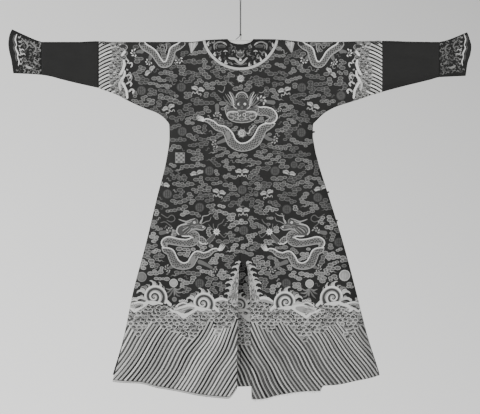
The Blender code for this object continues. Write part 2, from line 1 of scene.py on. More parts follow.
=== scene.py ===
"""Looks of a Chinese dragon robe of tapestry-woven silk that hangs flat from a cord.

The cloth is made on the same surfaces as its solids, from the same tables. A place on it is given
as x, across the robe, and its drop below the shoulder line. The woven pattern is laid on it as thin
shapes, drawn in units of STEP from the centre seam and the shoulder line.
"""
import math
import random

import bpy
import numpy as np
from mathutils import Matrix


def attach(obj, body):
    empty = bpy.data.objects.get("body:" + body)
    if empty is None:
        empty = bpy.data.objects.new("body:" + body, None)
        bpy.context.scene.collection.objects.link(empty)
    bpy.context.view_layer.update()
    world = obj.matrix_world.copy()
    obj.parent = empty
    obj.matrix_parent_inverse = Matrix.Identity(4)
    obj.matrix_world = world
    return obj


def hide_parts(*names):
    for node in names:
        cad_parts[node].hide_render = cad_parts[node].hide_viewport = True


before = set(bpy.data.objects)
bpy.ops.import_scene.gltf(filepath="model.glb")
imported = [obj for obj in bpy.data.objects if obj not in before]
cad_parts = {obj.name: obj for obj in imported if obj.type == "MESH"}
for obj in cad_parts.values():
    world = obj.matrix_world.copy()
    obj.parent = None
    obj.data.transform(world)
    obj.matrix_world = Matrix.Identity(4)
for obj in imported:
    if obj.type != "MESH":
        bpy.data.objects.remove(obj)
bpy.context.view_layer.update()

# --- sizes, as in the solids ------------------------------------------------------------------
STEP = 0.004323  # a unit of the drawing: one pixel of the photo, as a real size
WALL = 0.0016
SHELL = 0.0012  # the cloth's own thickness here, inside its solid's wall
SEAM = 0.0003
LAP = 0.0036  # how far the outer front stands off the underlap
EDGE_HALF = 0.0011  # half the robe's depth at its seamed edges
HANG_HEIGHT = 0.2100
ROD_RADIUS = 0.0090
ROD_DROP = 0.0100
PAD_ENDS = (-0.2000, 0.2550)
CORD_RADIUS = 0.0013
CORD_FEET = (-0.0210, 0.0010)
LOOP_RADIUS = 0.0045
STRAND_HALF = 0.0016
KNOT_DROP = -0.0315
KNOT_RADIUS = 0.0052
FOLD_GAP = 0.0009
FOLD_RADIUS = ROD_RADIUS + FOLD_GAP + WALL / 2
QUARTER = FOLD_RADIUS * math.pi / 2
SLEEVE_SEAM = 0.6160
CUFF_SEAM = 0.8650
NECK_HALF = 0.0540
BACK_SCOOP = 0.0220
FRONT_SCOOP = 0.0838
CLOSING = 0.0450  # the width over which the walls come together at an edge
HEM_EASE = 1.1000  # below this drop the rows turn gradually into the hem's line
HEM_LEVEL = 1.4760
UNDERLAP_HEM = 1.5020
FLAP_REACH = 0.1400
FLAP_TOP = 0.3000
CENTRE_RISE = 0.0105  # how far the fold stands above the rod at the middle of the back
SLEEVE_DROP = 0.199  # above this drop the cloth runs on into the sleeves
VENT_TOP = 0.955
VENT_HOLD = 0.956  # from this drop the pattern keeps off the vent's edges
SEAM_END = 0.957
# How far the fold stands above the rod: x, height
RISE = (
    (-0.700, 0.0), (-0.625, 0.0035), (-0.560, 0.0), (-0.220, 0.0), (-0.153, 0.0065),
    (-0.063, CENTRE_RISE), (0.150, CENTRE_RISE), (0.240, 0.0042), (0.275, 0.0), (0.360, 0.0),
    (0.540, 0.0035), (0.620, 0.0050), (0.750, 0.0015), (0.840, 0.0),
)
# The silhouette below the sleeves: drop, half width at the left, half width at the right
SIDE_EDGE = (
    (0.200, 0.616, 0.650), (0.216, 0.570, 0.616), (0.231, 0.531, 0.564), (0.249, 0.499, 0.512),
    (0.283, 0.426, 0.409), (0.309, 0.360, 0.363), (0.335, 0.326, 0.335), (0.361, 0.309, 0.314),
    (0.413, 0.308, 0.313), (0.517, 0.322, 0.335), (0.672, 0.361, 0.383), (0.880, 0.411, 0.447),
    (1.087, 0.466, 0.502), (1.321, 0.514, 0.560), (1.476, 0.556, 0.604),
)
# The underside of each sleeve: x, drop at the left, drop at the right
SLEEVE_UNDER = (
    (0.616, 0.199, 0.216), (0.694, 0.182, 0.195), (0.780, 0.161, 0.174), (0.824, 0.149, 0.163),
    (0.865, 0.142, 0.152), (0.900, 0.139, 0.150), (0.985, 0.135, 0.146),
)
# The top of each horse-hoof cuff: share of its length, drop at the left, drop at the right
CUFF_TOP = ((0.0, 0.0, 0.0), (0.2, -0.009, -0.005), (1.0, -0.055, -0.042))
# The open end of each cuff: share from top to bottom, x at the left, x at the right
CUFF_END = (
    (0.00, 0.994, 0.986), (0.15, 1.005, 0.995), (0.33, 1.009, 1.003), (0.50, 1.005, 0.999),
    (0.70, 0.996, 0.987), (1.00, 0.988, 0.979),
)
# The vents: drop, half opening at the left, half opening at the right
BACK_VENT = (
    (VENT_TOP, SEAM, SEAM), (0.985, 0.0050, 0.0290), (1.204, 0.0110, 0.0430),
    (1.440, 0.0150, 0.0470), (1.550, 0.0150, 0.0510),
)
FRONT_VENT = ((VENT_TOP, SEAM, SEAM), (1.500, 0.0120, 0.0120))
NO_VENT = ((VENT_TOP, SEAM, SEAM), (1.500, SEAM, SEAM))
# The hems: x, drop
BACK_HEM_LEFT = (
    (0.012, 1.500), (0.053, 1.546), (0.132, 1.540), (0.276, 1.515), (0.359, 1.501),
    (0.442, 1.480), (0.556, 1.476),
)
BACK_HEM_RIGHT = (
    (0.051, 1.549), (0.080, 1.548), (0.184, 1.528), (0.287, 1.515), (0.345, 1.512),
    (0.356, 1.490), (0.412, 1.487), (0.494, 1.472), (0.604, 1.449),
)
FRONT_HEM = ((0.0, 1.490), (0.300, 1.482), (0.600, 1.440))
UNDERLAP_HEM_LINE = ((0.0, UNDERLAP_HEM), (0.250, 1.490), (0.600, 1.440))
# How much further each wall stands from the middle plane: drop, half depth
FULLNESS = ((0.03, 0.0), (0.30, 0.003), (0.70, 0.007), (1.10, 0.013), (1.50, 0.020))
# The flutes of the skirt: x at the hem, width, height, drop at which each begins
BACK_FLUTES = (
    (-0.470, 0.050, 0.008, 0.75), (-0.330, 0.045, -0.007, 0.85), (-0.190, 0.055, 0.009, 0.65),
    (-0.050, 0.040, 0.006, 0.95), (0.090, 0.045, 0.010, 0.90), (0.230, 0.055, -0.007, 0.75),
    (0.370, 0.050, 0.010, 0.70), (0.510, 0.045, -0.006, 0.95),
)
FRONT_FLUTES = (
    (-0.420, 0.055, 0.009, 0.70), (-0.260, 0.050, -0.007, 0.90), (-0.110, 0.050, 0.008, 0.80),
    (0.060, 0.045, -0.006, 0.95), (0.200, 0.055, 0.010, 0.70), (0.350, 0.050, -0.007, 0.85),
    (0.490, 0.050, 0.008, 0.75),
)
# The overlap's upper edge, and the lower edge of the facing on it: x, drop
OVERLAP_EDGE = (
    (0.000, 0.073), (0.030, 0.101), (0.080, 0.150), (0.150, 0.203), (0.230, 0.262),
    (0.290, 0.320), (0.306, 0.366),
)
LAPEL_EDGE = (
    (0.000, 0.169), (0.048, 0.196), (0.100, 0.232), (0.160, 0.276), (0.222, 0.330),
    (0.262, 0.385), (0.272, 0.430),
)
OVERLAP_FIRST = 0.500  # the drop of the overlap's first straight row
BACK_COLLAR_RADIUS = 0.1575
BACK_COLLAR_CENTRE = -0.0454
FRONT_COLLAR_HALF = 0.1540
FRONT_COLLAR_DEPTH = 0.1800
EDGING_WIDTH = 0.0110

# Soft creases: from x, drop to x, drop, half width, height (out of the cloth)
BACK_CREASES = (
    (-0.600, 0.060, -0.330, 0.300, 0.016, -0.0016),
    (-0.560, 0.120, -0.340, 0.250, 0.014, 0.0012),
    (-0.360, 0.240, -0.200, 0.420, 0.020, -0.0014),
    (0.600, 0.070, 0.340, 0.290, 0.016, -0.0016),
    (0.540, 0.150, 0.350, 0.260, 0.014, 0.0012),
    (0.350, 0.250, 0.210, 0.430, 0.020, -0.0014),
    (-0.250, 0.420, -0.300, 0.900, 0.022, 0.0015),
    (0.260, 0.420, 0.330, 0.900, 0.022, 0.0015),
    (-0.100, 0.560, -0.130, 1.100, 0.025, -0.0012),
    (0.120, 0.560, 0.160, 1.100, 0.025, -0.0012),
    (-0.003, 0.120, -0.003, 0.940, 0.004, -0.0006),
    (-0.290, 0.660, 0.290, 0.668, 0.006, -0.0006),
)
FRONT_CREASES = (
    (-0.600, 0.060, -0.330, 0.300, 0.018, -0.0016),
    (0.600, 0.070, 0.340, 0.290, 0.018, -0.0016),
    (-0.240, 0.420, -0.300, 0.900, 0.024, 0.0014),
    (0.250, 0.450, 0.320, 0.900, 0.024, 0.0014),
    (-0.110, 0.500, -0.140, 1.050, 0.025, -0.0012),
)


# --- plane tools ------------------------------------------------------------------------------
def smoothstep(low, high, value):
    share = np.clip((value - low) / (high - low), 0.0, 1.0)
    return share * share * (3 - 2 * share)


def mix(a, b, share):
    return a + (b - a) * share


def curve(table, number, at):
    """A table's column at each key, on the curve that never overshoots the rows."""
    keys = np.array([row[0] for row in table])
    values = np.array([row[number] for row in table])
    steps = np.diff(keys)
    rises = np.diff(values) / steps
    before, after = rises[:-1], rises[1:]
    total = np.where(before * after > 0, before + after, 1.0)
    inner = np.where(before * after > 0, 2 * before * after / total, 0.0)
    slopes = np.concatenate([rises[:1], inner, rises[-1:]])
    at = np.clip(np.asarray(at, float), keys[0], keys[-1])
    i = np.clip(np.searchsorted(keys, at, side="right") - 1, 0, len(steps) - 1)
    t = (at - keys[i]) / steps[i]
    bend = (1 - t) * slopes[i] * steps[i] - t * slopes[i + 1] * steps[i]
    return mix(values[i], values[i + 1], t * t * (3 - 2 * t)) + t * (1 - t) * bend


def along(table, share):
    """The two columns of a table at a share of its rows, for a line of x and drop."""
    keyed = [(i, *row) for i, row in enumerate(table)]
    at = np.asarray(share) * (len(table) - 1)
    return curve(keyed, 1, at), curve(keyed, 2, at)


def number_of(side):
    """The column that belongs to a side, in a table of left and right."""
    return 1 if side < 0 else 2


def on_side(side, x):
    return (x < 0) if side < 0 else (x >= 0)


def half_width(side, drop):
    return np.minimum(SLEEVE_SEAM - SEAM, curve(SIDE_EDGE, number_of(side), drop))


def outline(side):
    """The seamed edge of one side, from the cuff along the sleeve and down to the hem."""
    n = number_of(side)
    points = [(row[0], row[n]) for row in reversed(SLEEVE_UNDER)]
    drops = np.arange(SLEEVE_UNDER[0][n] + 0.004, 1.50, 0.008)
    return np.array(points + list(zip(curve(SIDE_EDGE, n, drops), drops)))


OUTLINES = {side: outline(side) for side in (-1, 1)}


class Field:
    """Values on a lattice over x and drop, read between its points."""

    def __init__(self, make):
        self.xs = np.arange(-0.640, 0.6401, 0.004)
        self.vs = np.arange(-0.040, 1.6001, 0.004)
        self.values = make(*np.meshgrid(self.xs, self.vs, indexing="ij"))

    def __call__(self, x, v):
        i = np.clip((x - self.xs[0]) / 0.004, 0, len(self.xs) - 1.001)
        j = np.clip((v - self.vs[0]) / 0.004, 0, len(self.vs) - 1.001)
        a, b = i.astype(int), j.astype(int)
        s, t = i - a, j - b
        f = self.values
        low = f[a, b] * (1 - s) + f[a + 1, b] * s
        return low * (1 - t) + (f[a, b + 1] * (1 - s) + f[a + 1, b + 1] * s) * t


def shut_at(x, v):
    """0 at the seamed edges of the robe, 1 away from them, and less than 0 outside."""
    out = np.empty_like(x)
    for side in (-1, 1):
        mine = on_side(side, x)
        px, pv = np.abs(x[mine]), v[mine]
        best = np.full(px.shape, 9.0)
        for (ax, av), (bx, bv) in zip(OUTLINES[side], OUTLINES[side][1:]):
            run, fall = bx - ax, bv - av
            share = ((px - ax) * run + (pv - av) * fall) / max(run * run + fall * fall, 1e-12)
            share = np.clip(share, 0, 1)
            best = np.minimum(best, (px - ax - share * run) ** 2 + (pv - av - share * fall) ** 2)
        far = np.sqrt(best) / CLOSING
        inside = (px <= curve(SIDE_EDGE, number_of(side), pv)) | (pv < SLEEVE_DROP)
        out[mine] = np.where(inside, 1 - (1 - np.minimum(far, 1.0)) ** 2, -2 * far)
    return out


def creases(rows, x, v):
    """Soft troughs and ridges along straight lines, fading at their ends."""
    total = np.zeros_like(x)
    for x0, v0, x1, v1, half, height in rows:
        run, fall = x1 - x0, v1 - v0
        length = math.hypot(run, fall)
        share = ((x - x0) * run + (v - v0) * fall) / length**2
        off = ((x - x0) * fall - (v - v0) * run) / length
        fade = smoothstep(-0.05, 0.30, share) * (1 - smoothstep(0.70, 1.05, share))
        total += height * fade * np.exp(-((off / half) ** 2))
    return total


def slack(x, v, seed):
    """The small unevenness of hanging silk, in metres."""
    total = np.zeros_like(x)
    for k, (fx, fv, height) in enumerate(
        ((19, 5, 0.00050), (31, 7, 0.00035), (47, 13, 0.00020), (11, 17, 0.00045), (71, 9, 0.00012))
    ):
        total += height * np.sin(fx * x + fv * v + seed + 1.7 * k) * np.cos(
            0.6 * fv * v - 0.4 * fx * x + 2.3 * seed + k)
    return total


def relief(flutes, folds, seed):
    def make(x, v):
        total = curve(FULLNESS, 1, v) + creases(folds, x, v) + slack(x, v, seed)
        for side in (-1, 1):
            mine = on_side(side, x)
            fan = half_width(side, np.maximum(v[mine], 0.40)) / half_width(side, HEM_LEVEL)
            for at, width, height, start in flutes:
                total[mine] += (height * smoothstep(start, 1.50, v[mine])
                                * np.exp(-(((x[mine] - at * fan) / width) ** 2)))
        return total

    return Field(make)


SHUT = Field(shut_at)
BACK_RELIEF = relief(BACK_FLUTES, BACK_CREASES, 0.4)
FRONT_RELIEF = relief(FRONT_FLUTES, FRONT_CREASES, 2.1)
TOP = ROD_DROP - QUARTER  # the flat place of the top of the fold


def body(layer):
    """The surface of a layer, back, under or front: from x and flat place to x, y, z.

    A flat place equals the drop below the rod, and on the fold it runs on over the rod.
    """

    def place(x, v):
        x, v = np.asarray(x, float), np.asarray(v, float)
        over = v < TOP  # past the top, on the other side of the rod
        v = np.where(over, 2 * TOP - v, v)
        turn = 1 + (v - ROD_DROP) / QUARTER
        radius = FOLD_RADIUS + curve(RISE, 1, x)
        bend = np.clip(turn, 0, 1) * math.pi / 2
        drop = np.where(turn >= 1, v, ROD_DROP - radius * np.cos(bend))
        fold = mix(radius, FOLD_RADIUS, smoothstep(0.03, 0.40, drop)) * np.sin(bend)
        field = BACK_RELIEF if layer == "back" else FRONT_RELIEF
        full = fold + field(x, drop) * smoothstep(0.0, 0.08, drop)
        y = mix(np.minimum(EDGE_HALF, fold), full, np.maximum(SHUT(x, drop), 0))
        if layer == "front":
            y = y + LAP * smoothstep(0.010, 0.060, drop) * smoothstep(-0.300, -0.170, x)
        if layer == "back":
            y = -y
        return np.stack([x, np.where(over, -y, y), -HANG_HEIGHT - drop], axis=-1)

    return place


SURFACES = {layer: body(layer) for layer in ("back", "under", "front")}


def normals(place, x, v, sign):
    """Unit normals of a surface that point to -Y (sign -1) or +Y (sign 1) below the fold."""
    apart = 0.0015
    across = place(x + apart, v) - place(x - apart, v)
    down = place(x, v + apart) - place(x, v - apart)
    n = np.cross(across, down)
    n /= np.maximum(np.linalg.norm(n, axis=-1, keepdims=True), 1e-12)
    return n * sign


def lifted(place, x, v, sign, lift):
    return place(x, v) + normals(place, x, v, sign) * np.asarray(lift)[..., None]


def smooth_line(points, step):
    """A smooth line through points, as points a step apart."""
    p = np.asarray(points, float)
    ends = np.concatenate([2 * p[:1] - p[1:2], p, 2 * p[-1:] - p[-2:-1]])
    out = []
    for k in range(len(p) - 1):
        a, b, c, d = ends[k:k + 4]
        count = max(1, int(math.ceil(np.linalg.norm(c - b) / step)))
        t = (np.arange(count) / count)[:, None]
        out.append(0.5 * (2 * b + (c - a) * t + (2 * a - 5 * b + 4 * c - d) * t**2
                          + (3 * b - a - 3 * c + d) * t**3))
    return np.concatenate(out + [p[-1:]])


# --- making pieces ----------------------------------------------------------------------------
def add_mesh(name, points, faces, looks, chosen=None):
    """A mesh from numpy arrays. faces is a list of arrays with 3 or 4 columns."""
    mesh = bpy.data.meshes.new(name)
    loops = np.concatenate([f.ravel() for f in faces]).astype(np.int32)
    sizes = np.concatenate([np.full(len(f), f.shape[1]) for f in faces]).astype(np.int32)
    mesh.vertices.add(len(points))
    mesh.vertices.foreach_set("co", np.asarray(points, np.float32).ravel())
    mesh.loops.add(len(loops))
    mesh.loops.foreach_set("vertex_index", loops)
    mesh.polygons.add(len(sizes))
    starts = np.concatenate([[0], np.cumsum(sizes)[:-1]]).astype(np.int32)
    mesh.polygons.foreach_set("loop_start", starts)
    mesh.polygons.foreach_set("loop_total", sizes)
    mesh.polygons.foreach_set("use_smooth", np.full(len(sizes), True))
    for look in looks:
        mesh.materials.append(look)
    if chosen is not None:
        mesh.polygons.foreach_set("material_index", np.asarray(chosen, np.int32))
    mesh.update(calc_edges=True)
    mesh.validate()
    thing = bpy.data.objects.new(name, mesh)
    bpy.context.scene.collection.objects.link(thing)
    return thing


def grid_faces(rows, columns, wrap=False):
    """The quads of a grid, whose last column is joined to its first where it wraps."""
    r = np.arange(rows - 1)[:, None]
    c = np.arange(columns if wrap else columns - 1)[None, :]
    n = (c + 1) % columns
    quad = [r * columns + c, r * columns + n, (r + 1) * columns + n, (r + 1) * columns + c]
    return np.stack([np.broadcast_to(q, (rows - 1, c.shape[1])) for q in quad], -1).reshape(-1, 4)


def shell(name, middle, look, thick=SHELL, sign=1, wrap=False, lift=0.0):
    """A closed thin wall of cloth round a grid of places, with its edges turned."""
    rows, columns = middle.shape[:2]
    if wrap:
        wide = np.concatenate([middle[:, -1:], middle, middle[:, :1]], axis=1)
        across = np.gradient(wide, axis=1)[:, 1:-1]
    else:
        across = np.gradient(middle, axis=1)
    n = np.cross(across, np.gradient(middle, axis=0))
    n /= np.maximum(np.linalg.norm(n, axis=-1, keepdims=True), 1e-12)
    n *= sign
    outer = middle + n * (lift + thick / 2)
    inner = middle + n * (lift - thick / 2)
    count = rows * columns
    faces = grid_faces(rows, columns, wrap)
    back = faces[:, ::-1] + count
    rim = []
    borders = [np.arange(columns), count - columns + np.arange(columns)[::-1]]
    if not wrap:
        borders += [np.arange(rows)[::-1] * columns, np.arange(rows) * columns + columns - 1]
    for line in borders:
        if wrap:
            line = np.append(line, line[0])
        rim.append(np.stack([line[1:], line[:-1], line[:-1] + count, line[1:] + count], -1))
    faces = np.concatenate([faces, back] + rim)
    if sign < 0:
        faces = faces[:, ::-1]
    points = np.concatenate([outer.reshape(-1, 3), inner.reshape(-1, 3)])
    return add_mesh(name, points, [faces], [look])


def placed(thing, slot_name, *nodes):
    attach(thing, "root")
    if nodes:
        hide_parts(*nodes)
    return thing


def v_at(x, drop):
    """The flat place of a drop, at x."""
    radius = FOLD_RADIUS + curve(RISE, 1, x)
    bend = np.arccos(np.clip((ROD_DROP - drop) / radius, -1, 1))
    return np.where(drop >= ROD_DROP, drop, ROD_DROP + (bend / (math.pi / 2) - 1) * QUARTER)


def hem_place(level, hem, x):
    ease = smoothstep(HEM_EASE, HEM_LEVEL, level)
    return level + (curve(hem, 1, np.abs(x)) - HEM_LEVEL) * ease


FOLD_TOP_0 = ROD_DROP - FOLD_RADIUS - CENTRE_RISE  # the drop of the fold's top at the centre


def inner_edge(side, level_v, scoop, vent):
    """The half width at which a wall starts: the neck's curve, the centre seam or a vent."""
    turn = 1 + (level_v - ROD_DROP) / QUARTER
    low = ROD_DROP - (FOLD_RADIUS + CENTRE_RISE) * np.cos(np.clip(turn, 0, 1) * math.pi / 2)
    drop = np.where(turn >= 1, level_v, low)
    share = (drop - FOLD_TOP_0) / scoop
    neck = NECK_HALF * np.sqrt(np.clip(1 - share * share, 0, 1))
    return np.where(share < 1, neck, curve(vent, number_of(side), drop))


def levels_down(scoop, step):
    """Flat places from the top of the fold to the hem's level, close together at the neck."""
    drops = FOLD_TOP_0 + scoop * np.sin(np.radians([12, 24, 36, 47, 57, 66, 74, 81, 86, 90]))
    neck = v_at(np.zeros(len(drops)), drops)
    rest = np.arange(TOP, HEM_LEVEL, step)
    rest = rest[np.abs(rest[:, None] - neck[None, :]).min(axis=1) > 0.002]
    return np.sort(np.concatenate([[TOP], rest[1:], neck, [HEM_LEVEL]]))


def wall_grid(layer, side, scoop, vent, hem, columns, step):
    levels = levels_down(scoop, step)
    shares = np.linspace(0, 1, columns)
    inner = inner_edge(side, levels, scoop, vent)[:, None]
    outer = half_width(side, levels)[:, None]
    x = side * mix(inner, outer, shares[None, :])
    v = hem_place(levels[:, None], hem, x)
    return SURFACES[layer](x, v)


def width_of_cloth(name, side, front_layer, vent, hem_back, hem_front, look):
    """One width: up the back from its hem, over the shoulder, and down the front."""
    back = wall_grid("back", side, BACK_SCOOP, BACK_VENT, hem_back, 72, 0.0072)
    front = wall_grid(front_layer, side, FRONT_SCOOP, vent, hem_front, 72, 0.0072)
    return shell(name, np.concatenate([back[::-1], front[1:]]), look, sign=side)


def overlap_grid(columns, step):
    shares = np.linspace(0, 1, columns)
    top_x, top_v = along(OVERLAP_EDGE, shares)
    rows = []
    low_x = half_width(1, OVERLAP_FIRST) * shares
    for part in np.linspace(0, 1, 44)[:-1]:
        x = np.maximum(mix(top_x, low_x, part), SEAM)
        rows.append((x, mix(top_v, OVERLAP_FIRST, part)))
    for level in np.append(np.arange(OVERLAP_FIRST, HEM_LEVEL, step), HEM_LEVEL):
        inner = curve(FRONT_VENT, 2, level)
        x = mix(inner, half_width(1, level), shares)
        rows.append((x, hem_place(level, FRONT_HEM, x)))
    x = np.array([row[0] for row in rows])
    return SURFACES["front"](x, np.array([row[1] for row in rows]))


def flap_grid(columns, step):
    drops = np.append(np.arange(FLAP_TOP, UNDERLAP_HEM, step), UNDERLAP_HEM)
    reach = FLAP_REACH * mix(0.55, 1.0, smoothstep(FLAP_TOP, 0.70, drops))
    x = -mix(reach[:, None], SEAM, np.linspace(0, 1, columns)[None, :])
    return SURFACES["under"](x, np.broadcast_to(drops[:, None], x.shape))


# --- sleeves and cuffs ------------------------------------------------------------------------
SLEEVE_CREASES = (
    # side, from x, share down, to x, share down, half width (of x), height
    (-1, 0.640, 0.20, 0.850, 0.42, 0.010, -0.0020), (-1, 0.650, 0.62, 0.860, 0.55, 0.012, 0.0018),
    (-1, 0.700, 0.86, 0.840, 0.72, 0.010, -0.0016), (-1, 0.630, 0.40, 0.760, 0.30, 0.009, 0.0014),
    (1, 0.640, 0.25, 0.850, 0.45, 0.010, -0.0020), (1, 0.650, 0.66, 0.860, 0.58, 0.012, 0.0018),
    (1, 0.700, 0.88, 0.840, 0.76, 0.010, -0.0016), (1, 0.630, 0.48, 0.760, 0.34, 0.009, 0.0014),
)


def tube_depth(side, x, drop, top, bottom, lens):
    """Half the depth of a sleeve's section at a drop: it wraps the rod and closes at the bottom."""
    radius = FOLD_RADIUS + curve(RISE, 1, side * np.minimum(x, CUFF_SEAM))
    down = np.clip((drop - top) / (bottom - top), 0, 1)
    cosine = np.clip(1 - (drop - top) / radius, -1, 1)
    upper = radius * np.sqrt(np.clip(1 - cosine * cosine, 0, 1))
    lower = radius * (1 - (1 - np.clip((bottom - drop) / CLOSING, 0, 1)) ** 2)
    wrapped = np.where(drop < top + radius, upper, lower)
    flat = 0.0085 * np.sqrt(4 * down * (1 - down))
    folds = np.zeros_like(x)
    for way, x0, s0, x1, s1, half, height in SLEEVE_CREASES:
        if way == side:
            share = (x - x0) / (x1 - x0)
            fade = smoothstep(-0.05, 0.3, share) * (1 - smoothstep(0.7, 1.05, share))
            off = (down - mix(s0, s1, share)) * (bottom - top)
            folds += height * fade * np.exp(-((off / half) ** 2))
    folds += slack(side * x, drop, 5.0) * 1.2
    ease = smoothstep(0.0, 0.25, down) * (1 - smoothstep(0.75, 1.0, down))
    return mix(wrapped, flat, lens) + folds * ease


def sleeve_lines(side, x):
    top = ROD_DROP - FOLD_RADIUS - curve(RISE, 1, side * x)
    return top, curve(SLEEVE_UNDER, number_of(side), x), np.zeros_like(x)


def cuff_end(side, down):
    return curve(CUFF_END, number_of(side), down)


def cuff_lines(side, share, x):
    top = ROD_DROP - FOLD_RADIUS - curve(RISE, 1, side * CUFF_SEAM)
    top = top + curve(CUFF_TOP, number_of(side), share)
    return top, curve(SLEEVE_UNDER, number_of(side), x), smoothstep(0.0, 0.8, share)


def tube_grid(side, kind, along_count, half_count):
    """A sleeve or a cuff as a grid: its columns run round it, closed."""
    angle = np.linspace(0, math.pi, half_count)
    down = (1 - np.cos(angle)) / 2
    down = mix(down, np.linspace(0, 1, half_count), 0.35)
    shares = np.linspace(0, 1, along_count)
    if kind == "sleeve":
        x = mix(SLEEVE_SEAM + SEAM, CUFF_SEAM - SEAM, shares)[:, None] * np.ones(half_count)
        top, bottom, lens = sleeve_lines(side, x)
    else:
        start = CUFF_SEAM + SEAM
        x = mix(start, cuff_end(side, down)[None, :], shares[:, None])
        top, bottom, lens = cuff_lines(side, shares[:, None] * np.ones(half_count), x)
    drop = mix(top, bottom, down[None, :])
    y = tube_depth(side, x, drop, top, bottom, lens)
    back = np.stack([side * x, -y, -HANG_HEIGHT - drop], -1)
    front = np.stack([side * x, y, -HANG_HEIGHT - drop], -1)
    return np.concatenate([back, front[:, ::-1][:, 1:-1]], axis=1)


def cuff_surface(side, face):
    """Places on a cuff's back (face -1) or front (1), from x and drop."""

    def place(x, v):
        x, v = np.asarray(x, float), np.asarray(v, float)
        away = np.abs(x)
        share = np.clip((away - CUFF_SEAM) / 0.13, 0, 1)
        for _ in range(3):
            top, bottom, lens = cuff_lines(side, share, away)
            down = np.clip((v - top) / (bottom - top), 0, 1)
            share = np.clip((away - CUFF_SEAM) / (cuff_end(side, down) - CUFF_SEAM), 0, 1)
        held = np.clip(v, top + 0.0005, bottom - 0.0005)
        y = tube_depth(side, away, held, top, bottom, lens)
        return np.stack([x, face * y, -HANG_HEIGHT - held], axis=-1)

    return place


# --- materials --------------------------------------------------------------------------------
FULL_TURN = 6.283  # radians


def new_look(name):
    made = bpy.data.materials.new(name)
    made.use_nodes = True
    return made, made.node_tree.nodes, made.node_tree.links


def noise(nodes, links, coords, scale, detail=3.0, stretch=(1, 1, 1)):
    move = nodes.new("ShaderNodeMapping")
    move.inputs["Scale"].default_value = stretch
    links.new(coords, move.inputs["Vector"])
    made = nodes.new("ShaderNodeTexNoise")
    made.inputs["Scale"].default_value = scale
    made.inputs["Detail"].default_value = detail
    links.new(move.outputs["Vector"], made.inputs["Vector"])
    return made.outputs["Fac"]


def maths(nodes, links, kind, a, b, c=None):
    made = nodes.new("ShaderNodeMath")
    made.operation = kind
    for socket, value in zip(made.inputs, (a, b, c)):
        if value is None:
            continue
        if isinstance(value, (int, float)):
            socket.default_value = value
        else:
            links.new(value, socket)
    return made.outputs[0]


def silk(name, tone, rough=0.62, spread=0.10, weave=0.35, sheen=0.03, ribs=900.0,
         shine=0.30, tint=(1.0, 1.0, 0.985)):
    """Woven silk: weft ribs and warp grooves, uneven dyeing and thread flecks."""
    made, nodes, links = new_look(name)
    shader = nodes["Principled BSDF"]
    coords = nodes.new("ShaderNodeTexCoord").outputs["Object"]
    cloudy = noise(nodes, links, coords, 9.0, 4.0)
    flecks = noise(nodes, links, coords, 1.0, 2.0, (260.0, 260.0, 1400.0))
    streaks = noise(nodes, links, coords, 1.0, 2.0, (14.0, 14.0, 420.0))
    split = nodes.new("ShaderNodeSeparateXYZ")
    links.new(coords, split.inputs[0])
    weft = maths(nodes, links, "SINE", maths(nodes, links, "MULTIPLY", split.outputs["Z"], ribs * FULL_TURN),
                 0)
    warp = maths(nodes, links, "SINE", maths(nodes, links, "MULTIPLY", split.outputs["X"], ribs * 2.6), 0)
    # shade = 1 + spread * (sum of centred parts)
    total = maths(nodes, links, "MULTIPLY_ADD", cloudy, 1.6, -0.8)
    total = maths(nodes, links, "ADD", total, maths(nodes, links, "MULTIPLY_ADD", flecks, 1.0, -0.5))
    total = maths(nodes, links, "ADD", total, maths(nodes, links, "MULTIPLY_ADD", streaks, 0.8, -0.4))
    shade = maths(nodes, links, "MULTIPLY_ADD", total, spread, 1.0)
    mixer = nodes.new("ShaderNodeMix")
    mixer.data_type = "RGBA"
    mixer.blend_type = "MULTIPLY"
    mixer.inputs["Factor"].default_value = 1.0
    mixer.inputs["A"].default_value = (*(tone * part for part in tint), 1)
    links.new(shade, mixer.inputs["B"])
    links.new(mixer.outputs["Result"], shader.inputs["Base Color"])
    shader.inputs["Roughness"].default_value = rough
    shader.inputs["Sheen Weight"].default_value = sheen
    shader.inputs["Sheen Roughness"].default_value = 0.45
    shader.inputs["Specular IOR Level"].default_value = shine
    threads = maths(nodes, links, "ADD", weft, maths(nodes, links, "MULTIPLY", warp, 0.4))
    height = maths(nodes, links, "ADD", maths(nodes, links, "MULTIPLY", threads, 0.5),
                   maths(nodes, links, "MULTIPLY", flecks, 1.2))
    bump = nodes.new("ShaderNodeBump")
    bump.inputs["Strength"].default_value = weave
    bump.inputs["Distance"].default_value = 0.0003
    links.new(height, bump.inputs["Height"])
    links.new(bump.outputs["Normal"], shader.inputs["Normal"])
    return made


def grained(name, colour, rough, scale, spread, bump_height=0.0002, stretch=(1, 1, 1)):
    """A surface with a grain, such as painted wood or cotton wadding."""
    made, nodes, links = new_look(name)
    shader = nodes["Principled BSDF"]
    coords = nodes.new("ShaderNodeTexCoord").outputs["Object"]
    grain = noise(nodes, links, coords, scale, 5.0, stretch)
    ramp = nodes.new("ShaderNodeValToRGB")
    for stop, factor in zip(ramp.color_ramp.elements, (1 - spread, 1 + spread)):
        stop.color = (*(part * factor for part in colour), 1)
    ramp.color_ramp.elements[0].position = 0.3
    ramp.color_ramp.elements[1].position = 0.7
    links.new(grain, ramp.inputs["Fac"])
    links.new(ramp.outputs["Color"], shader.inputs["Base Color"])
    shader.inputs["Roughness"].default_value = rough
    bump = nodes.new("ShaderNodeBump")
    bump.inputs["Strength"].default_value = 0.6
    bump.inputs["Distance"].default_value = bump_height
    links.new(grain, bump.inputs["Height"])
    links.new(bump.outputs["Normal"], shader.inputs["Normal"])
    return made


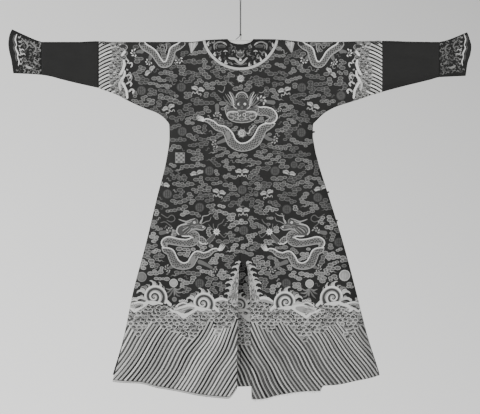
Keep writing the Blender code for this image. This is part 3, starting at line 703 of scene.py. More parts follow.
def twisted(name, tone, pitch):
    """Cord laid up from plies: slanting grooves round it, with painted shade in the grooves and painted light
    on the plies' crests.
    """
    made, nodes, links = new_look(name)
    shader = nodes["Principled BSDF"]
    coords = nodes.new("ShaderNodeTexCoord").outputs["Object"]
    split = nodes.new("ShaderNodeSeparateXYZ")
    links.new(coords, split.inputs[0])
    slant = maths(nodes, links, "MULTIPLY_ADD", split.outputs["X"], 1.3, split.outputs["Z"])
    wave = maths(nodes, links, "SINE", maths(nodes, links, "MULTIPLY", slant, FULL_TURN / pitch), 0)
    # the colour follows the groove wave: painted shade in the grooves, painted light on the crests
    ramp = nodes.new("ShaderNodeValToRGB")
    ramp.color_ramp.elements[0].color = (tone * 0.45, tone * 0.45, tone * 0.44, 1)
    ramp.color_ramp.elements[1].color = (tone * 1.3, tone * 1.3, tone * 1.27, 1)
    links.new(maths(nodes, links, "MULTIPLY_ADD", wave, 0.5, 0.5), ramp.inputs["Fac"])
    links.new(ramp.outputs["Color"], shader.inputs["Base Color"])
    shader.inputs["Roughness"].default_value = 0.8
    bump = nodes.new("ShaderNodeBump")
    bump.inputs["Strength"].default_value = 0.8
    bump.inputs["Distance"].default_value = 0.0004
    links.new(wave, bump.inputs["Height"])
    links.new(bump.outputs["Normal"], shader.inputs["Normal"])
    return made


LOOKS = {
    "ground": silk("ground_silk", 0.0195, rough=0.70, spread=0.30, sheen=0.02, shine=0.10),
    "plain": silk("plain_dark_silk", 0.0160, rough=0.55, spread=0.14, sheen=0.01, ribs=700.0, shine=0.10),
    "band": silk("facing_silk", 0.0135, rough=0.62, spread=0.16, sheen=0.01, shine=0.10),
    "edging": silk("pale_edging", 0.42, rough=0.55, spread=0.12, weave=0.8, ribs=450.0),
    "button": silk("cord_button", 0.05, rough=0.55, spread=0.2, weave=0.9, ribs=600.0),
    "seam": silk("seam_silk", 0.010, rough=0.65, spread=0.2),
    "rod": grained("painted_rod", (0.62, 0.62, 0.60), 0.45, 30.0, 0.08, 0.0001, (0.2, 3, 3)),
    "pad": grained("cotton_pad", (0.64, 0.64, 0.62), 0.92, 240.0, 0.10, 0.0005),
    "cord": twisted("hanging_cord", 0.012, 0.0042),
}
# The silks of the pattern, from the palest down: how much light each gives back
TONES = {
    "white": 0.60, "pale": 0.43, "light": 0.27, "soft": 0.155, "mid": 0.096, "dull": 0.055,
    "dim": 0.030, "dark": 0.022, "deep": 0.014,
}
TONE_NAMES = list(TONES)
SILKS = [silk("silk_" + name, value, rough=0.56, spread=0.15) for name, value in TONES.items()]


# --- drawing ----------------------------------------------------------------------------------
def sharpness(line):
    """How fast a line of close points turns, for each unit of its length."""
    run = np.gradient(line, axis=0)
    length = np.maximum(np.linalg.norm(run, axis=1), 1e-9)
    run = run / length[:, None]
    return (run[:, 0] * np.gradient(run[:, 1]) - run[:, 1] * np.gradient(run[:, 0])) / length


def along_line(line):
    """How far each point lies along a line."""
    return np.concatenate([[0], np.cumsum(np.linalg.norm(np.diff(line, axis=0), axis=1))])


def ways(line):
    """The way a line runs at each point, and the way to its side."""
    run = np.gradient(line, axis=0)
    run /= np.maximum(np.linalg.norm(run, axis=1, keepdims=True), 1e-9)
    return run, np.stack([-run[:, 1], run[:, 0]], -1)


def half_ribbon(way, width, turn):
    """Half a ribbon's width on one side, narrowed where it would cross itself inside a turn."""
    room = 0.9 / np.maximum(np.abs(turn), 1e-6)
    return np.where(way * turn > 0, np.minimum(width / 2, room), width / 2)


class Room:
    """What is free for small motifs: places that are inside and clear of the discs taken."""

    def __init__(self, taken, inside):
        self.inside = inside
        self.discs = np.full((12000, 3), 1e6)  # the first stays far off, so that there is always one
        self.count = len(taken) + 1
        if taken:
            self.discs[1:self.count] = taken

    def clear(self, spots, gap):
        x, y, r = self.discs[:self.count].T
        return all(self.inside(px, py) and (np.hypot(x - px, y - py) - r).min() > reach + gap
                   for px, py, reach in spots)

    def take(self, spots):
        self.discs[self.count:self.count + len(spots)] = spots
        self.count += len(spots)


EDGE_DROPS = np.arange(0.0, 1.56, 0.01)
EDGE_WIDTHS = [half_width(side, EDGE_DROPS) for side in (-1, 1)]


LEVEL_STEP = 0.00010  # a level of the drawing, as a height above the cloth
LEAST_AREA = 4e-8  # shapes that an edge has pressed flatter than this are left out


class Art:
    """Flat woven shapes in steps from the centre seam and the shoulder line, y down.

    Each shape has a tone and a level, and a higher level lies over a lower one.
    """

    def __init__(self):
        self.points, self.levels, self.faces, self.tones = [], [], [], []
        self.count = 0
        self.taken = []
        self.frames = [np.eye(3)]

    def at(self, x, y, size=1.0, turn=0.0, flip=False):
        """Draw what follows in a frame of its own, until back() is called."""
        c, s = math.cos(turn) * size, math.sin(turn) * size
        own = np.array([[c, -s, x], [s, c, y], [0, 0, 1]])
        if flip:
            own = own @ np.diag([-1.0, 1.0, 1.0])
        self.frames.append(self.frames[-1] @ own)
        return self

    def back(self):
        self.frames.pop()

    def world(self, points):
        m = self.frames[-1]
        return np.asarray(points, float) @ m[:2, :2].T + m[:2, 2]

    def keep(self, x, y, r):
        """Note a disc that later clouds stay off."""
        m = self.frames[-1]
        wx, wy = self.world([(x, y)])[0]
        self.taken.append((wx, wy, r * math.sqrt(abs(np.linalg.det(m[:2, :2])))))

    def add(self, points, faces, tone, level):
        points = self.world(points)
        self.points.append(points)
        self.levels.append(np.full(len(points), float(level)))
        self.faces.append(np.asarray(faces) + self.count)
        self.tones.append(np.full(len(faces), TONE_NAMES.index(tone)))
        self.count += len(points)

    def blob(self, outline, tone, level, rings=1):
        outline = np.asarray(outline, float)
        middle = outline.mean(axis=0)
        x, y = self.world([middle])[0] * STEP
        if abs(x) > np.interp(y, EDGE_DROPS, EDGE_WIDTHS[int(x > 0)]) - CLOSING and abs(x) < SLEEVE_SEAM:
            rings += 1  # the cloth bends more near its side seams
        n = len(outline)
        rows = [middle + (outline - middle) * (k + 1) / rings for k in range(rings)]
        points = np.concatenate([middle[None, :]] + rows)
        a = np.arange(n)
        b = (a + 1) % n
        faces = [np.stack([np.zeros(n, int), 1 + a, 1 + b], -1)]
        for k in range(rings - 1):
            lo, hi = 1 + k * n, 1 + (k + 1) * n
            faces += [np.stack([lo + a, hi + a, hi + b], -1), np.stack([lo + a, hi + b, lo + b], -1)]
        self.add(points, np.concatenate(faces), tone, level)

    def patch(self, x0, y0, x1, y1, tone, level):
        """A rectangle, in small squares so that it follows the cloth."""
        columns = max(1, int(math.ceil((x1 - x0) / 1.6)))
        rows = max(1, int(math.ceil((y1 - y0) / 1.6)))
        gx, gy = np.meshgrid(np.linspace(x0, x1, columns + 1), np.linspace(y0, y1, rows + 1))
        quads = grid_faces(rows + 1, columns + 1)
        faces = np.concatenate([quads[:, [0, 1, 2]], quads[:, [0, 2, 3]]])
        self.add(np.stack([gx.ravel(), gy.ravel()], -1), faces, tone, level)

    def disc(self, x, y, r, tone, level, sides=9, squash=1.0):
        a = np.linspace(0, 2 * math.pi, sides, endpoint=False) + 0.3
        outline = np.stack([x + r * np.cos(a), y + r * squash * np.sin(a)], -1)
        self.blob(outline, tone, level, rings=1 if r < 2.6 else 2)

    def ring(self, x, y, r, width, tone, level, sides=20, first=0, last=360):
        a = np.radians(np.linspace(first, last, sides + 1))
        line = np.stack([x + r * np.cos(a), y + r * np.sin(a)], -1)
        self.band(line, width, tone, level, ends="cut", step=9)

    def band(self, line, width, tone, level, ends="taper", step=1.25):
        """A ribbon along a smooth line. width is one number, or one for each point."""
        line = np.asarray(line, float)
        width = np.atleast_1d(np.asarray(width, float))
        width = np.interp(np.linspace(0, 1, len(line)), np.linspace(0, 1, len(width)), width)
        rows = smooth_line(np.column_stack([line, width]), step)
        p, w = rows[:, :2], rows[:, 2]
        side = ways(p)[1]
        if ends != "cut":
            gone = along_line(p)
            left = gone[-1] - gone
            if ends == "taper":
                w = w * np.clip(gone / (0.30 * gone[-1]), 0.25, 1) * np.clip(left / (0.45 * gone[-1]), 0.06,
                                                                             1)
            elif ends == "tail":
                w = w * np.clip(left / (0.7 * gone[-1]), 0.05, 1)
            else:
                for far in (gone, left):
                    t = np.clip(far / np.maximum(w / 2, 1e-6), 0, 1)
                    w = w * np.sqrt(np.clip(1 - (1 - t) ** 2, 0.02, 1))
        turn = sharpness(p)
        wide = [half_ribbon(way, w, turn)[:, None] for way in (1, -1)]
        points = np.concatenate([p + side * wide[0], p - side * wide[1]])
        n = len(p)
        a = np.arange(n - 1)
        faces = np.concatenate([np.stack([a, a + 1, a + 1 + n], -1), np.stack([a, a + 1 + n, a + n], -1)])
        self.add(points, faces, tone, level)

    def edged(self, line, width, fill, edge, level, rim=0.75, ends="round", step=1.25):
        """A ribbon with a lighter or darker line along both its edges."""
        width = np.asarray(width, float)
        self.band(line, width + 2 * rim, edge, level, ends, step)
        self.band(line, width, fill, level + 1, ends, step)

    def strokes(self, rows, level, mirror=False):
        """Ribbons from rows of tone, width or widths, and points."""
        for tone, width, points in rows:
            for side in (1, -1) if mirror else (1,):
                self.band([(side * px, py) for px, py in points], width, tone, level, "round", 0.9)

    def form(self, half, tone, level, rings=2, rim=0.0, edge=None):
        """A closed shape, symmetric from side to side, from the points of its right half."""
        points = list(half) + [(-px, py) for px, py in reversed(half) if abs(px) > 1e-6]
        outline = smooth_line(points + points[:1], 1.3)[:-1]
        if edge:
            self.blob(outline, edge, level, rings)
            middle = outline.mean(axis=0)
            reach = np.linalg.norm(outline - middle, axis=1, keepdims=True)
            outline = middle + (outline - middle) * (1 - rim / reach)
            level += 0.6
        self.blob(outline, tone, level, rings)

    def piece(self, name, place, sign, hold, base=0.00095, keep_if=None, rounded=0.0, vent=True):
        """Lay everything drawn so far on a surface, as one piece with a material for each tone.

        hold moves places onto the cloth, base is how far level 0 stands off the surface, rounded how
        much more at the seamed edges, and vent says that the cloth is open below the centre seam.
        """
        xy = np.concatenate(self.points) * STEP
        levels = np.concatenate(self.levels)
        faces = np.concatenate(self.faces)
        tones = np.concatenate(self.tones)
        x, v = hold(xy[:, 0], xy[:, 1])
        flat = np.stack([x, v], -1)
        a, b, c = flat[faces[:, 0]], flat[faces[:, 1]], flat[faces[:, 2]]
        (ax, ay), (bx, by) = (b - a).T, (c - a).T
        good = np.abs(ax * by - ay * bx) > LEAST_AREA
        around = np.stack([flat[faces[:, k]] for k in range(3)])
        if vent:
            split = (around[:, :, 0].min(0) < 0) & (around[:, :, 0].max(0) > 0)
            good &= ~(split & (around[:, :, 1].max(0) > SEAM_END))
        if keep_if is not None:
            middle = (a + b + c) / 3
            good &= keep_if(middle[:, 0], middle[:, 1])
        faces, tones = faces[good], tones[good]
        used, faces = np.unique(faces, return_inverse=True)
        faces = faces.reshape(-1, 3)
        x, v, levels = x[used], v[used], levels[used]
        inside = np.where(x < 0, half_width(-1, v), half_width(1, v)) - np.abs(x)
        apart = 2 * np.clip(levels, 0, 3) * (1 - smoothstep(0.020, 0.050, inside))
        levels = (levels + apart) * LEVEL_STEP + rounded * (1 - smoothstep(0.0, 0.016, inside))
        points = lifted(place, x, v, sign, base + levels)
        present = np.unique(tones)
        slots = [SILKS[t] for t in present]
        return add_mesh(name, points, [faces], slots, np.searchsorted(present, tones))


# --- the traditional motifs -------------------------------------------------------------------
CLOUD_TONES = (
    ("dim", "mid"), ("dull", "soft"), ("dull", "soft"), ("mid", "soft"), ("mid", "light"), ("mid", "light"),
    ("soft", "light"), ("soft", "light"), ("soft", "pale"), ("light", "pale"),
)


def cloud(art, x, y, chance, clear, least, most):
    """A winding chain of lobes with an eye in each, that turns where its way is taken."""
    fill, edge = CLOUD_TONES[chance.randint(1, 7) if y > 165 else chance.randint(0, 4) * 3 // 4]
    lobes = [(x, y, chance.uniform(1.6, 2.5))]
    if not clear(lobes, 0.3):
        return []
    heading = chance.choice((0.0, math.pi)) + chance.gauss(0, 0.2)

    def lobe_at(near, turn, r, overlap):
        reach = near[2] + r - overlap
        return near[0] + 1.3 * reach * math.cos(turn), near[1] + 0.84 * reach * math.sin(turn), r

    def apart(spot, others, slack):
        return all(math.hypot((spot[0] - ox) / 1.3, (spot[1] - oy) / 0.84) > spot[2] + o - slack
                   for ox, oy, o in others)

    while len(lobes) < most:
        bend = chance.choice((-1, 1))
        for turn in (chance.gauss(0, 0.35), bend * chance.uniform(0.8, 1.5),
                     -bend * chance.uniform(0.8, 1.5)):
            spot = lobe_at(lobes[-1], heading + turn, chance.uniform(1.4, 2.5), 0.7)
            if clear([spot], 0.3) and apart(spot, lobes[:-1], -0.05):
                lobes.append(spot)
                break
        else:
            break
        if chance.random() < 0.3:
            heading = math.pi - heading
    if len(lobes) < least:
        return []
    for near in lobes[1:-1] if len(lobes) > 3 else lobes[:1]:
        spot = lobe_at(near, chance.choice((-1, 1)) * chance.uniform(1.2, 1.9), chance.uniform(1.2, 1.7), 0.7)
        if chance.random() < 0.6 and clear([spot], 0.25) and apart(spot, lobes, 0.9):
            lobes.append(spot)
    scales = chance.random() < 0.8  # each lobe's edge shows over the one before
    for k, (px, py, r) in enumerate(lobes):
        lift = 0.25 * k if scales else 0.0
        art.disc(px, py, r * 1.36, edge, 1.0 + lift, 10, 0.66)
        art.disc(px, py, r * 1.36 - 0.55, fill, (1.1 if scales else 1.6) + lift, 9, 0.60)
        eyes = (-0.62, 0.62) if r > 1.9 else (chance.uniform(-0.4, 0.4),)
        for ex in eyes:
            if chance.random() < 0.8:
                art.disc(px + ex * r, py + 0.1, 0.55, "dark", (1.2 if scales else 2.2) + lift, 5)
    if not scales:
        for (px, py, _), (qx, qy, _) in zip(lobes, lobes[1:]):
            if math.hypot(px - qx, py - qy) < 5:
                art.band([(qx, qy), (px, py)], 2.0, edge, 1.0, "cut", 9)
                art.band([(qx, qy), (px, py)], 1.0, fill, 1.6, "cut", 9)
    taken = list(lobes)
    if len(lobes) > 2 and chance.random() < 0.5:
        way = 1 if math.cos(heading) > 0 else -1
        lx, ly, r = lobes[-1]
        line = [(lx + way * (r + px), ly + py) for px, py in
                ((-0.6, 0.4), (1.4, 1.6), (3.0, 0.8), (4.6, 2.0), (6.6, 1.8))]
        if clear([(px, py, 0.45) for px, py in line[1:]], 0.2):
            art.band(line, (1.6, 1.2, 1.0, 0.9, 0.5), edge, 0.6, "tail", 0.95)
            taken += [(px, py, 0.5) for px, py in line[1:]]
    return taken


CLOUD_SPREAD = 13.0
CLOUD_PITCH = 5.6
SCROLLS = 2600  # how often a place for a thin scroll is tried


def sky(art, inside, seed, area, darts=5000):
    """Clouds in staggered rows over an area, then smaller ones and thin scrolls in what is left."""
    chance = random.Random(seed)
    x0, x1, y0, y1 = area
    room = Room(art.taken, inside)

    def lay(px, py, least, most):
        taken = cloud(art, px, py, chance, room.clear, least, most)
        if taken:
            room.take(taken)

    y, odd = y0, 0
    while y < y1:
        x = x0 + (odd % 2) * CLOUD_SPREAD * 0.5
        while x < x1:
            lay(x + chance.uniform(-2.5, 2.5), y + chance.uniform(-1.2, 1.2), 3, chance.randint(4, 8))
            x += CLOUD_SPREAD
        y += CLOUD_PITCH
        odd += 1
    for k in range(darts):
        sizes = (3, 6) if k < 0.3 * darts else (2, 4) if k < 0.7 * darts else (1, 2)
        lay(chance.uniform(x0, x1), chance.uniform(y0, y1), *sizes)
    for _ in range(SCROLLS):
        px, py = chance.uniform(x0, x1), chance.uniform(y0, y1)
        way, size = chance.choice((-1, 1)), chance.uniform(0.6, 1.2)
        line = [(px + way * size * qx, py + size * qy) for qx, qy in
                ((0, 0), (1.3, -1.5), (2.9, -0.6), (3.0, 1.4), (4.7, 2.2), (6.0, 0.8))]
        if room.clear([(qx, qy, 0.4) for qx, qy in line], 0.15):
            art.band(line, (0.9, 0.9, 0.8, 0.5), chance.choice(("mid", "soft", "dull")), 0, "round", 0.9)
            room.take([(qx, qy, 0.45) for qx, qy in line])


HOOK = ((0, 1.2), (0.7, -1.4), (0.2, -3.4), (-1.3, -4.8), (-3.2, -5.0))


def hook(art, x, y, turn, size=1.0, level=2, tone="pale", flip=False):
    """A curling finger of foam."""
    art.at(x, y, size, turn, flip)
    art.band(HOOK, (2.9, 2.3, 1.7, 1.2, 0.5), tone, level, "round", 0.9)
    art.band([(1.2, 0.6), (2.4, -1.0), (2.3, -2.8), (1.2, -4.0)], (1.4, 1.2, 0.9, 0.4), tone, level, "round",
             0.9)
    art.keep(-0.8, -2.6, 2.6)
    art.back()


def scribble(art, inside, seed, area, count, tones=("dull", "mid", "dim", "soft")):
    """Small curled strokes close together, for a worn and crowded pattern."""
    chance = random.Random(seed)
    x0, x1, y0, y1 = area
    room = Room(art.taken, inside)
    for _ in range(count):
        px, py = chance.uniform(x0, x1), chance.uniform(y0, y1)
        turn, size, way = chance.uniform(0, 6.3), chance.uniform(0.7, 1.5), chance.choice((-1, 1))
        c, s = math.cos(turn) * size, math.sin(turn) * size
        line = [(px + qx * c - way * qy * s, py + qx * s + way * qy * c)
                for qx, qy in ((-1.5, 0.9), (-0.8, -0.3), (0.4, -0.5), (1.2, 0.4), (0.6, 1.2))]
        if room.clear([(qx, qy, 0) for qx, qy in line], 0.35):
            art.band(line, (0.7, 1.1, 1.2, 0.9, 0.6), chance.choice(tones), 0.4, "round", 0.9)
            room.take([(qx, qy, 0.45) for qx, qy in line])


def roundel(art, x, y, r=4.6):
    """A faint round medallion of plain bars, symmetric from side to side."""
    art.at(x, y, r / 5.0)
    art.disc(0, 0, 5.0, "dull", 0, 18)
    art.ring(0, 0, 4.5, 0.7, "dim", 0.5, 18)
    for bx, half in ((0, 3.6), (-2.0, 3.0), (2.0, 3.0)):
        art.band([(bx, -half), (bx, half)], 0.85, "dark", 0.5, "cut", 3)
    for by in (-1.4, 1.4):
        art.band([(-2.0, by), (2.0, by)], 0.6, "dark", 0.5, "cut", 3)
    art.keep(0, 0, 5.2)
    art.back()


def light_disc(art, x, y, r, fill="light", edge="pale"):
    art.at(x, y, r / 5.0)
    art.disc(0, 0, 5.0, edge, 0, 18)
    art.disc(0, 0, 4.2, fill, 0.6, 16)
    for bx in (-2.1, -0.7, 0.7, 2.1):
        art.band([(bx, -3.2 + abs(bx) * 0.4), (bx, 3.2 - abs(bx) * 0.4)], 0.5, edge, 1.2, "round", 2)
    art.keep(0, 0, 5.4)
    art.back()


def flower(art, x, y, flip=False):
    """A pale open flower on leaves that spread to both sides."""
    light_disc(art, x, y, 4.2, "light", "pale")
    art.at(x, y, 1.0, 0.0, flip)
    for tone, line in (("soft", ((0, 4.2), (-3.6, 6.6), (-8.2, 5.4))),
                       ("soft", ((0, 4.4), (4.0, 6.8), (8.8, 4.2))),
                       ("mid", ((0, 4.6), (-5.0, 9.0), (-8.0, 10.4))),
                       ("soft", ((0, 5.4), (4.2, 9.4), (9.4, 9.2))),
                       ("mid", ((0, 6.0), (-3.2, 11.6), (-6.4, 15.0))),
                       ("mid", ((0.4, 6.0), (3.4, 12.2), (7.0, 13.4))),
                       ("soft", ((0.2, 5.0), (0.8, 9.6), (0.6, 13.0)))):
        art.band(line, (0.9, 1.5, 0.5), tone, 0.4, "round", 0.9)
    art.disc(0.8, 16.4, 2.6, "mid", 0.4, 10)
    art.ring(0.8, 16.4, 1.9, 0.6, "soft", 0.9, 10)
    for kx, ky, r in ((0, 6, 4.0), (-5, 8, 3.0), (5, 8, 3.0), (0, 12, 4.4), (0.8, 16.4, 3.2)):
        art.keep(kx, ky, r)
    art.back()


BAT = (
    ("light", (1.6, 3.0, 3.2, 2.0, 0.4), ((0.2, 0.6), (2.4, -1.0), (4.2, -0.4), (5.4, 0.7), (6.6, -1.4))),
    ("mid", 0.6, ((1.2, 0.0), (3.0, -0.8), (4.6, 0.0))),
)
RIBBON = ("light", (0.9, 0.9, 0.8, 0.6),
          ((0.4, 2), (0.6, 4.0), (2.2, 5.0), (3.4, 3.9), (4.4, 4.4), (4.2, 6.6)))


def bat(art, x, y, turn=0.0, flip=False, hang=True):
    """A bat with spread wings, and looped ribbons below it."""
    art.at(x, y, 1.0, turn, flip)
    art.strokes(BAT[:1], 1, True)
    art.strokes(BAT[1:], 1.6, True)
    for side in (-1, 1):
        for k in range(3):
            art.disc(side * (1.8 + 1.4 * k), 0.9 - 0.2 * k, 0.8, "pale", 1, 7)
    art.disc(0, 0.7, 1.5, "soft", 2, 8)
    art.disc(0, 0.8, 0.7, "dim", 2.5, 6)
    if hang:
        art.strokes([RIBBON], 0.5, True)
        art.keep(-2.6, 4.8, 2.0)
        art.keep(2.6, 4.8, 2.0)
    for kx, r in ((-5.0, 2.3), (0, 2.4), (5.0, 2.3)):
        art.keep(kx, -0.4, r)
    art.back()


def spiral(cx, cy, r0, r1, first, turns, count=34):
    t = np.linspace(0, 1, count)
    a = math.radians(first) - 2 * math.pi * turns * t
    r = mix(r0, r1, t**0.85)
    return np.stack([cx + r * np.cos(a), cy + r * np.sin(a)], -1)


def pearl(art, x, y, r):
    """A flaming pearl: a bright spiral disc with short flames."""
    art.at(x, y, r / 4.2)
    for k in range(8):
        a = 2 * math.pi * (k + 0.5) / 8
        flame = [(3.4 * math.cos(a), 3.4 * math.sin(a)), (5.0 * math.cos(a + 0.2), 5.0 * math.sin(a + 0.2)),
                 (6.0 * math.cos(a), 6.0 * math.sin(a) - 0.6)]
        art.band(flame, (1.4, 1.0, 0.4), "mid", 0, "tail", 0.9)
    art.disc(0, 0, 4.2, "soft", 1, 14)
    art.disc(0, 0, 3.5, "pale", 1.5, 13)
    art.band(spiral(0, 0, 3.0, 0.4, 40, 1.6, 20), 0.8, "mid", 2, "cut", 0.8)
    art.keep(0, 0, 5.6)
    art.back()


def scaled(art, line, width, level=3, spine=1, fill="soft", mark="dim"):
    """A dragon's body: a net of scales, a bright spine on one side and a thin line on the other."""
    art.band(line, width, fill, level, "round", 1.2)
    line, width = np.asarray(line, float), np.asarray(width, float)
    rows = smooth_line(np.column_stack([line, width]), 0.25)
    p, w = rows[:, :2], rows[:, 2]
    gone = along_line(p)
    run, side = ways(p)
    turn = sharpness(p)
    k, s = 0, 1.4
    while s < gone[-1] - 1.2:
        i = int(np.searchsorted(gone, s))
        across = int(max(1, (w[i] - 1.8) // 2.6))
        for j in range(across + 1 - k % 2):
            t = (j - (across - k % 2) / 2) * 2.6
            if abs(t) + 1.2 > w[i] / 2 or t * turn[i] > 0.6:
                continue
            c = p[i] + side[i] * t
            f, g = run[i] * 1.0, side[i] * 0.94
            art.add(np.array([c - f, c + g, c + f, c - g]), [[0, 1, 2], [0, 2, 3]], mark, level + 1)
        s += 1.42
        k += 1
    ends = np.clip(np.minimum(gone, gone[-1] - gone) / 2.5, 0.25, 1)
    for way, share, wide, tone in ((spine, 1.0, 1.15, "white"), (-spine, 0.95, 0.7, "light")):
        reach = half_ribbon(way, w, turn) * ends
        art.band((p + way * share * side * reach[:, None])[::3], wide, tone, level + 2, "round", 0.9)
    for x, y, r in zip(p[::12, 0], p[::12, 1], w[::12]):
        art.keep(x, y, r / 2 + 0.3)


def paw(art, x, y, turn, size=1.0, level=3, tone="pale", flip=False, leg=None):
    """A dragon's foot on a dull leg: five bright claws, set apart round a small pad."""
    if leg is not None:
        art.band(leg, (4.6, 3.6, 2.4), "mid", level - 1.2, "round", 1.0)
        for px, py in leg:
            art.keep(px, py, 2.2)
    art.at(x, y, size, turn, flip)
    for k in range(5):
        a = math.radians(-100 + 50 * k)
        art.band([(0.3 * math.cos(a), 0.3 * math.sin(a)), (3.0 * math.cos(a), 3.0 * math.sin(a))],
                 (1.5, 1.0), "dull", level - 0.5, "round", 0.9)
        b = a + 0.35
        art.band([(3.0 * math.cos(a), 3.0 * math.sin(a)), (4.2 * math.cos(b), 4.2 * math.sin(b)),
                  (5.2 * math.cos(b + 0.2), 5.2 * math.sin(b + 0.2))], (1.7, 1.5, 0.5), tone, level, "round",
                  0.8)
    art.disc(0.2, 0, 1.4, "soft", level + 0.5, 7)
    art.keep(1.5, 0, 3.6)
    art.back()


def plume(art, x, y, turn, size=1.0, level=2, tone="pale", count=5, flip=False):
    """Hair or flame in a spray of curved strands from a bright root."""
    art.at(x, y, size, turn, flip)
    for k in range(count):
        a = math.radians(-48 + 96 * k / max(count - 1, 1))
        reach = 8.4 - 1.3 * abs(k - (count - 1) / 2)
        art.band([(0, 0), (reach * 0.5 * math.cos(a), reach * 0.5 * math.sin(a)),
                  (reach * math.cos(a * 0.62), reach * math.sin(a * 0.62) - 1.4)],
                 (1.6, 1.1, 0.5), tone, level, "round", 0.9)
    art.disc(0.4, 0, 1.7, "white", level + 0.5, 8)
    art.keep(2, 0, 3.4)
    art.back()


# A dragon's head from the front: the right half of each shape, then lines, from between the eyes
JAW = ((0, 19.6), (6.5, 18.9), (12.0, 16.6), (15.4, 12.2), (16.8, 7.4), (17.2, 3.4), (14.4, 1.8), (12.4, 4.0),
       (8.6, 4.6), (5, 6.2), (0, 7))
FRONT_LINES = (
    ("pale", (1.2, 1.2, 1.0, 0.6), ((7.6, 2.2), (9.6, -5.6), (12.6, -11.8))),
    ("soft", (1.8, 1.5, 0.7), ((9.4, 2.6), (9.8, -2.0), (9.6, -6.4))),
    ("mid", (0.9, 0.8, 0.5), ((7.8, 0.4), (7.6, -6.0), (9.8, -11.0))),
    ("mid", (0.8, 0.7, 0.4), ((11.4, 2.0), (16.4, -3.0), (18.6, -7.4))),
    ("soft", (0.9, 0.8, 0.4), ((5.8, -3.2), (8.6, -8.2), (12.0, -12.2))),
    ("soft", (0.9, 0.8, 0.4), ((9.6, 2.0), (13.4, -4.4), (16.8, -10.0))),
    ("mid", (0.9, 0.8, 0.4), ((10.2, 2.6), (14.2, -1.6), (17.6, -4.8))),
    ("mid", (0.9, 0.8, 0.4), ((11.2, 3.4), (15.4, 1.0), (19.0, -1.6))),
    ("light", (0.9, 1.1, 0.8), ((0.8, -4.0), (3.0, -4.8), (6.6, -3.0))),
    ("light", (1.2, 0.9, 0.4), ((8.8, 0.6), (11.0, -4.6), (14.6, -9.6))),
    ("soft", (0.9, 0.8, 0.4), ((7.0, -1.0), (8.6, -5.8), (9.0, -10.2))),
)
FACE_LINES = (
    ("pale", (0.9, 1.3, 1.3, 1.1, 0.6), ((3.4, 8.8), (6.4, 8.3), (11.2, 8.2), (14.4, 9.6), (14.6, 13.4))),
    ("light", 0.8, ((0.4, 17.0), (3.0, 16.2), (6.6, 16.0))),
    ("light", 0.7, ((0.0, 7.4), (2.0, 7.0), (4.6, 7.8))),
    ("soft", 0.8, ((4.6, 11.8), (8.4, 12.8), (11.8, 11.6), (12.8, 9.8))),
    ("pale", (1.0, 0.5), ((3.6, 13.6), (3.8, 15.6))),
    ("soft", 0.8, ((12.6, 3.8), (14.6, 3.2), (15.6, 5.0), (14.2, 6.4), (12.8, 5.6))),
    ("mid", 0.8, ((0.5, 2.4), (0.7, 5.8))),
    ("light", 0.8, ((7.6, 10.0), (9.6, 8.8), (12.6, 9.6), (14.2, 12.4), (13.0, 15.4), (9.8, 16.2),
                    (7.8, 14.4), (8.6, 12.2), (10.8, 12.2))),
    ("pale", (0.7, 1.0, 0.7), ((5.0, 5.4), (7.2, 4.0), (8.8, 1.6))),
)


def frontal_head(art, x, y, level=6):
    """A dragon's head seen from the front, symmetric from side to side."""
    art.at(x, y)
    art.strokes(FRONT_LINES, level, True)
    art.form(JAW, "dull", level + 0.5, 3, 0.8, "light")
    for side in (-1, 1):
        for k in range(8):
            for row in range(4):
                dx = 0.9 + 1.75 * k + 0.8 * (row % 2)
                dy = 11.6 + 1.7 * row - 0.05 * dx**1.6
                if row > 1 or dx > 6:
                    art.disc(side * dx, dy, 0.62, "dim" if row % 2 else "light", level + 1.6, 5)
    art.form(((0, -6.4), (3.4, -5.6), (6.4, -2.6), (6.6, 1.6), (4.6, 5.6), (0, 7.4)), "dim", level + 1.4, 2,
             0.6, "mid")
    for r, w, tone in ((5.7, 1.3, "light"), (3.9, 0.9, "soft"), (2.2, 0.8, "mid")):
        art.ring(0, -5.6, r, w, tone, level + 2.4, 16, 180, 360)
    art.strokes(FACE_LINES, level + 2.4, True)
    for side in (-1, 1):
        art.disc(side * 3.1, 0.6, 1.9, "dull", level + 2.4, 10)
        art.disc(side * 3.1, 0.6, 1.25, "white", level + 3, 9)
        art.disc(side * 2.9, 0.8, 0.45, "deep", level + 3.6, 6)
        art.disc(side * 2.6, 11.3, 1.9, "pale", level + 2.4, 10)
        art.disc(side * 2.5, 11.4, 1.2, "dull", level + 3, 8)
        art.disc(side * 2.4, 11.5, 0.5, "deep", level + 3.6, 6)
        art.keep(side * 10, -4, 4.0)
        art.keep(side * 13, -8, 3.4)
        art.keep(side * 12.6, -12, 2.6)
        art.keep(side * 9, 10, 7.8)
    art.keep(0, -6, 6.6)
    art.keep(0, 12, 7.8)
    art.back()


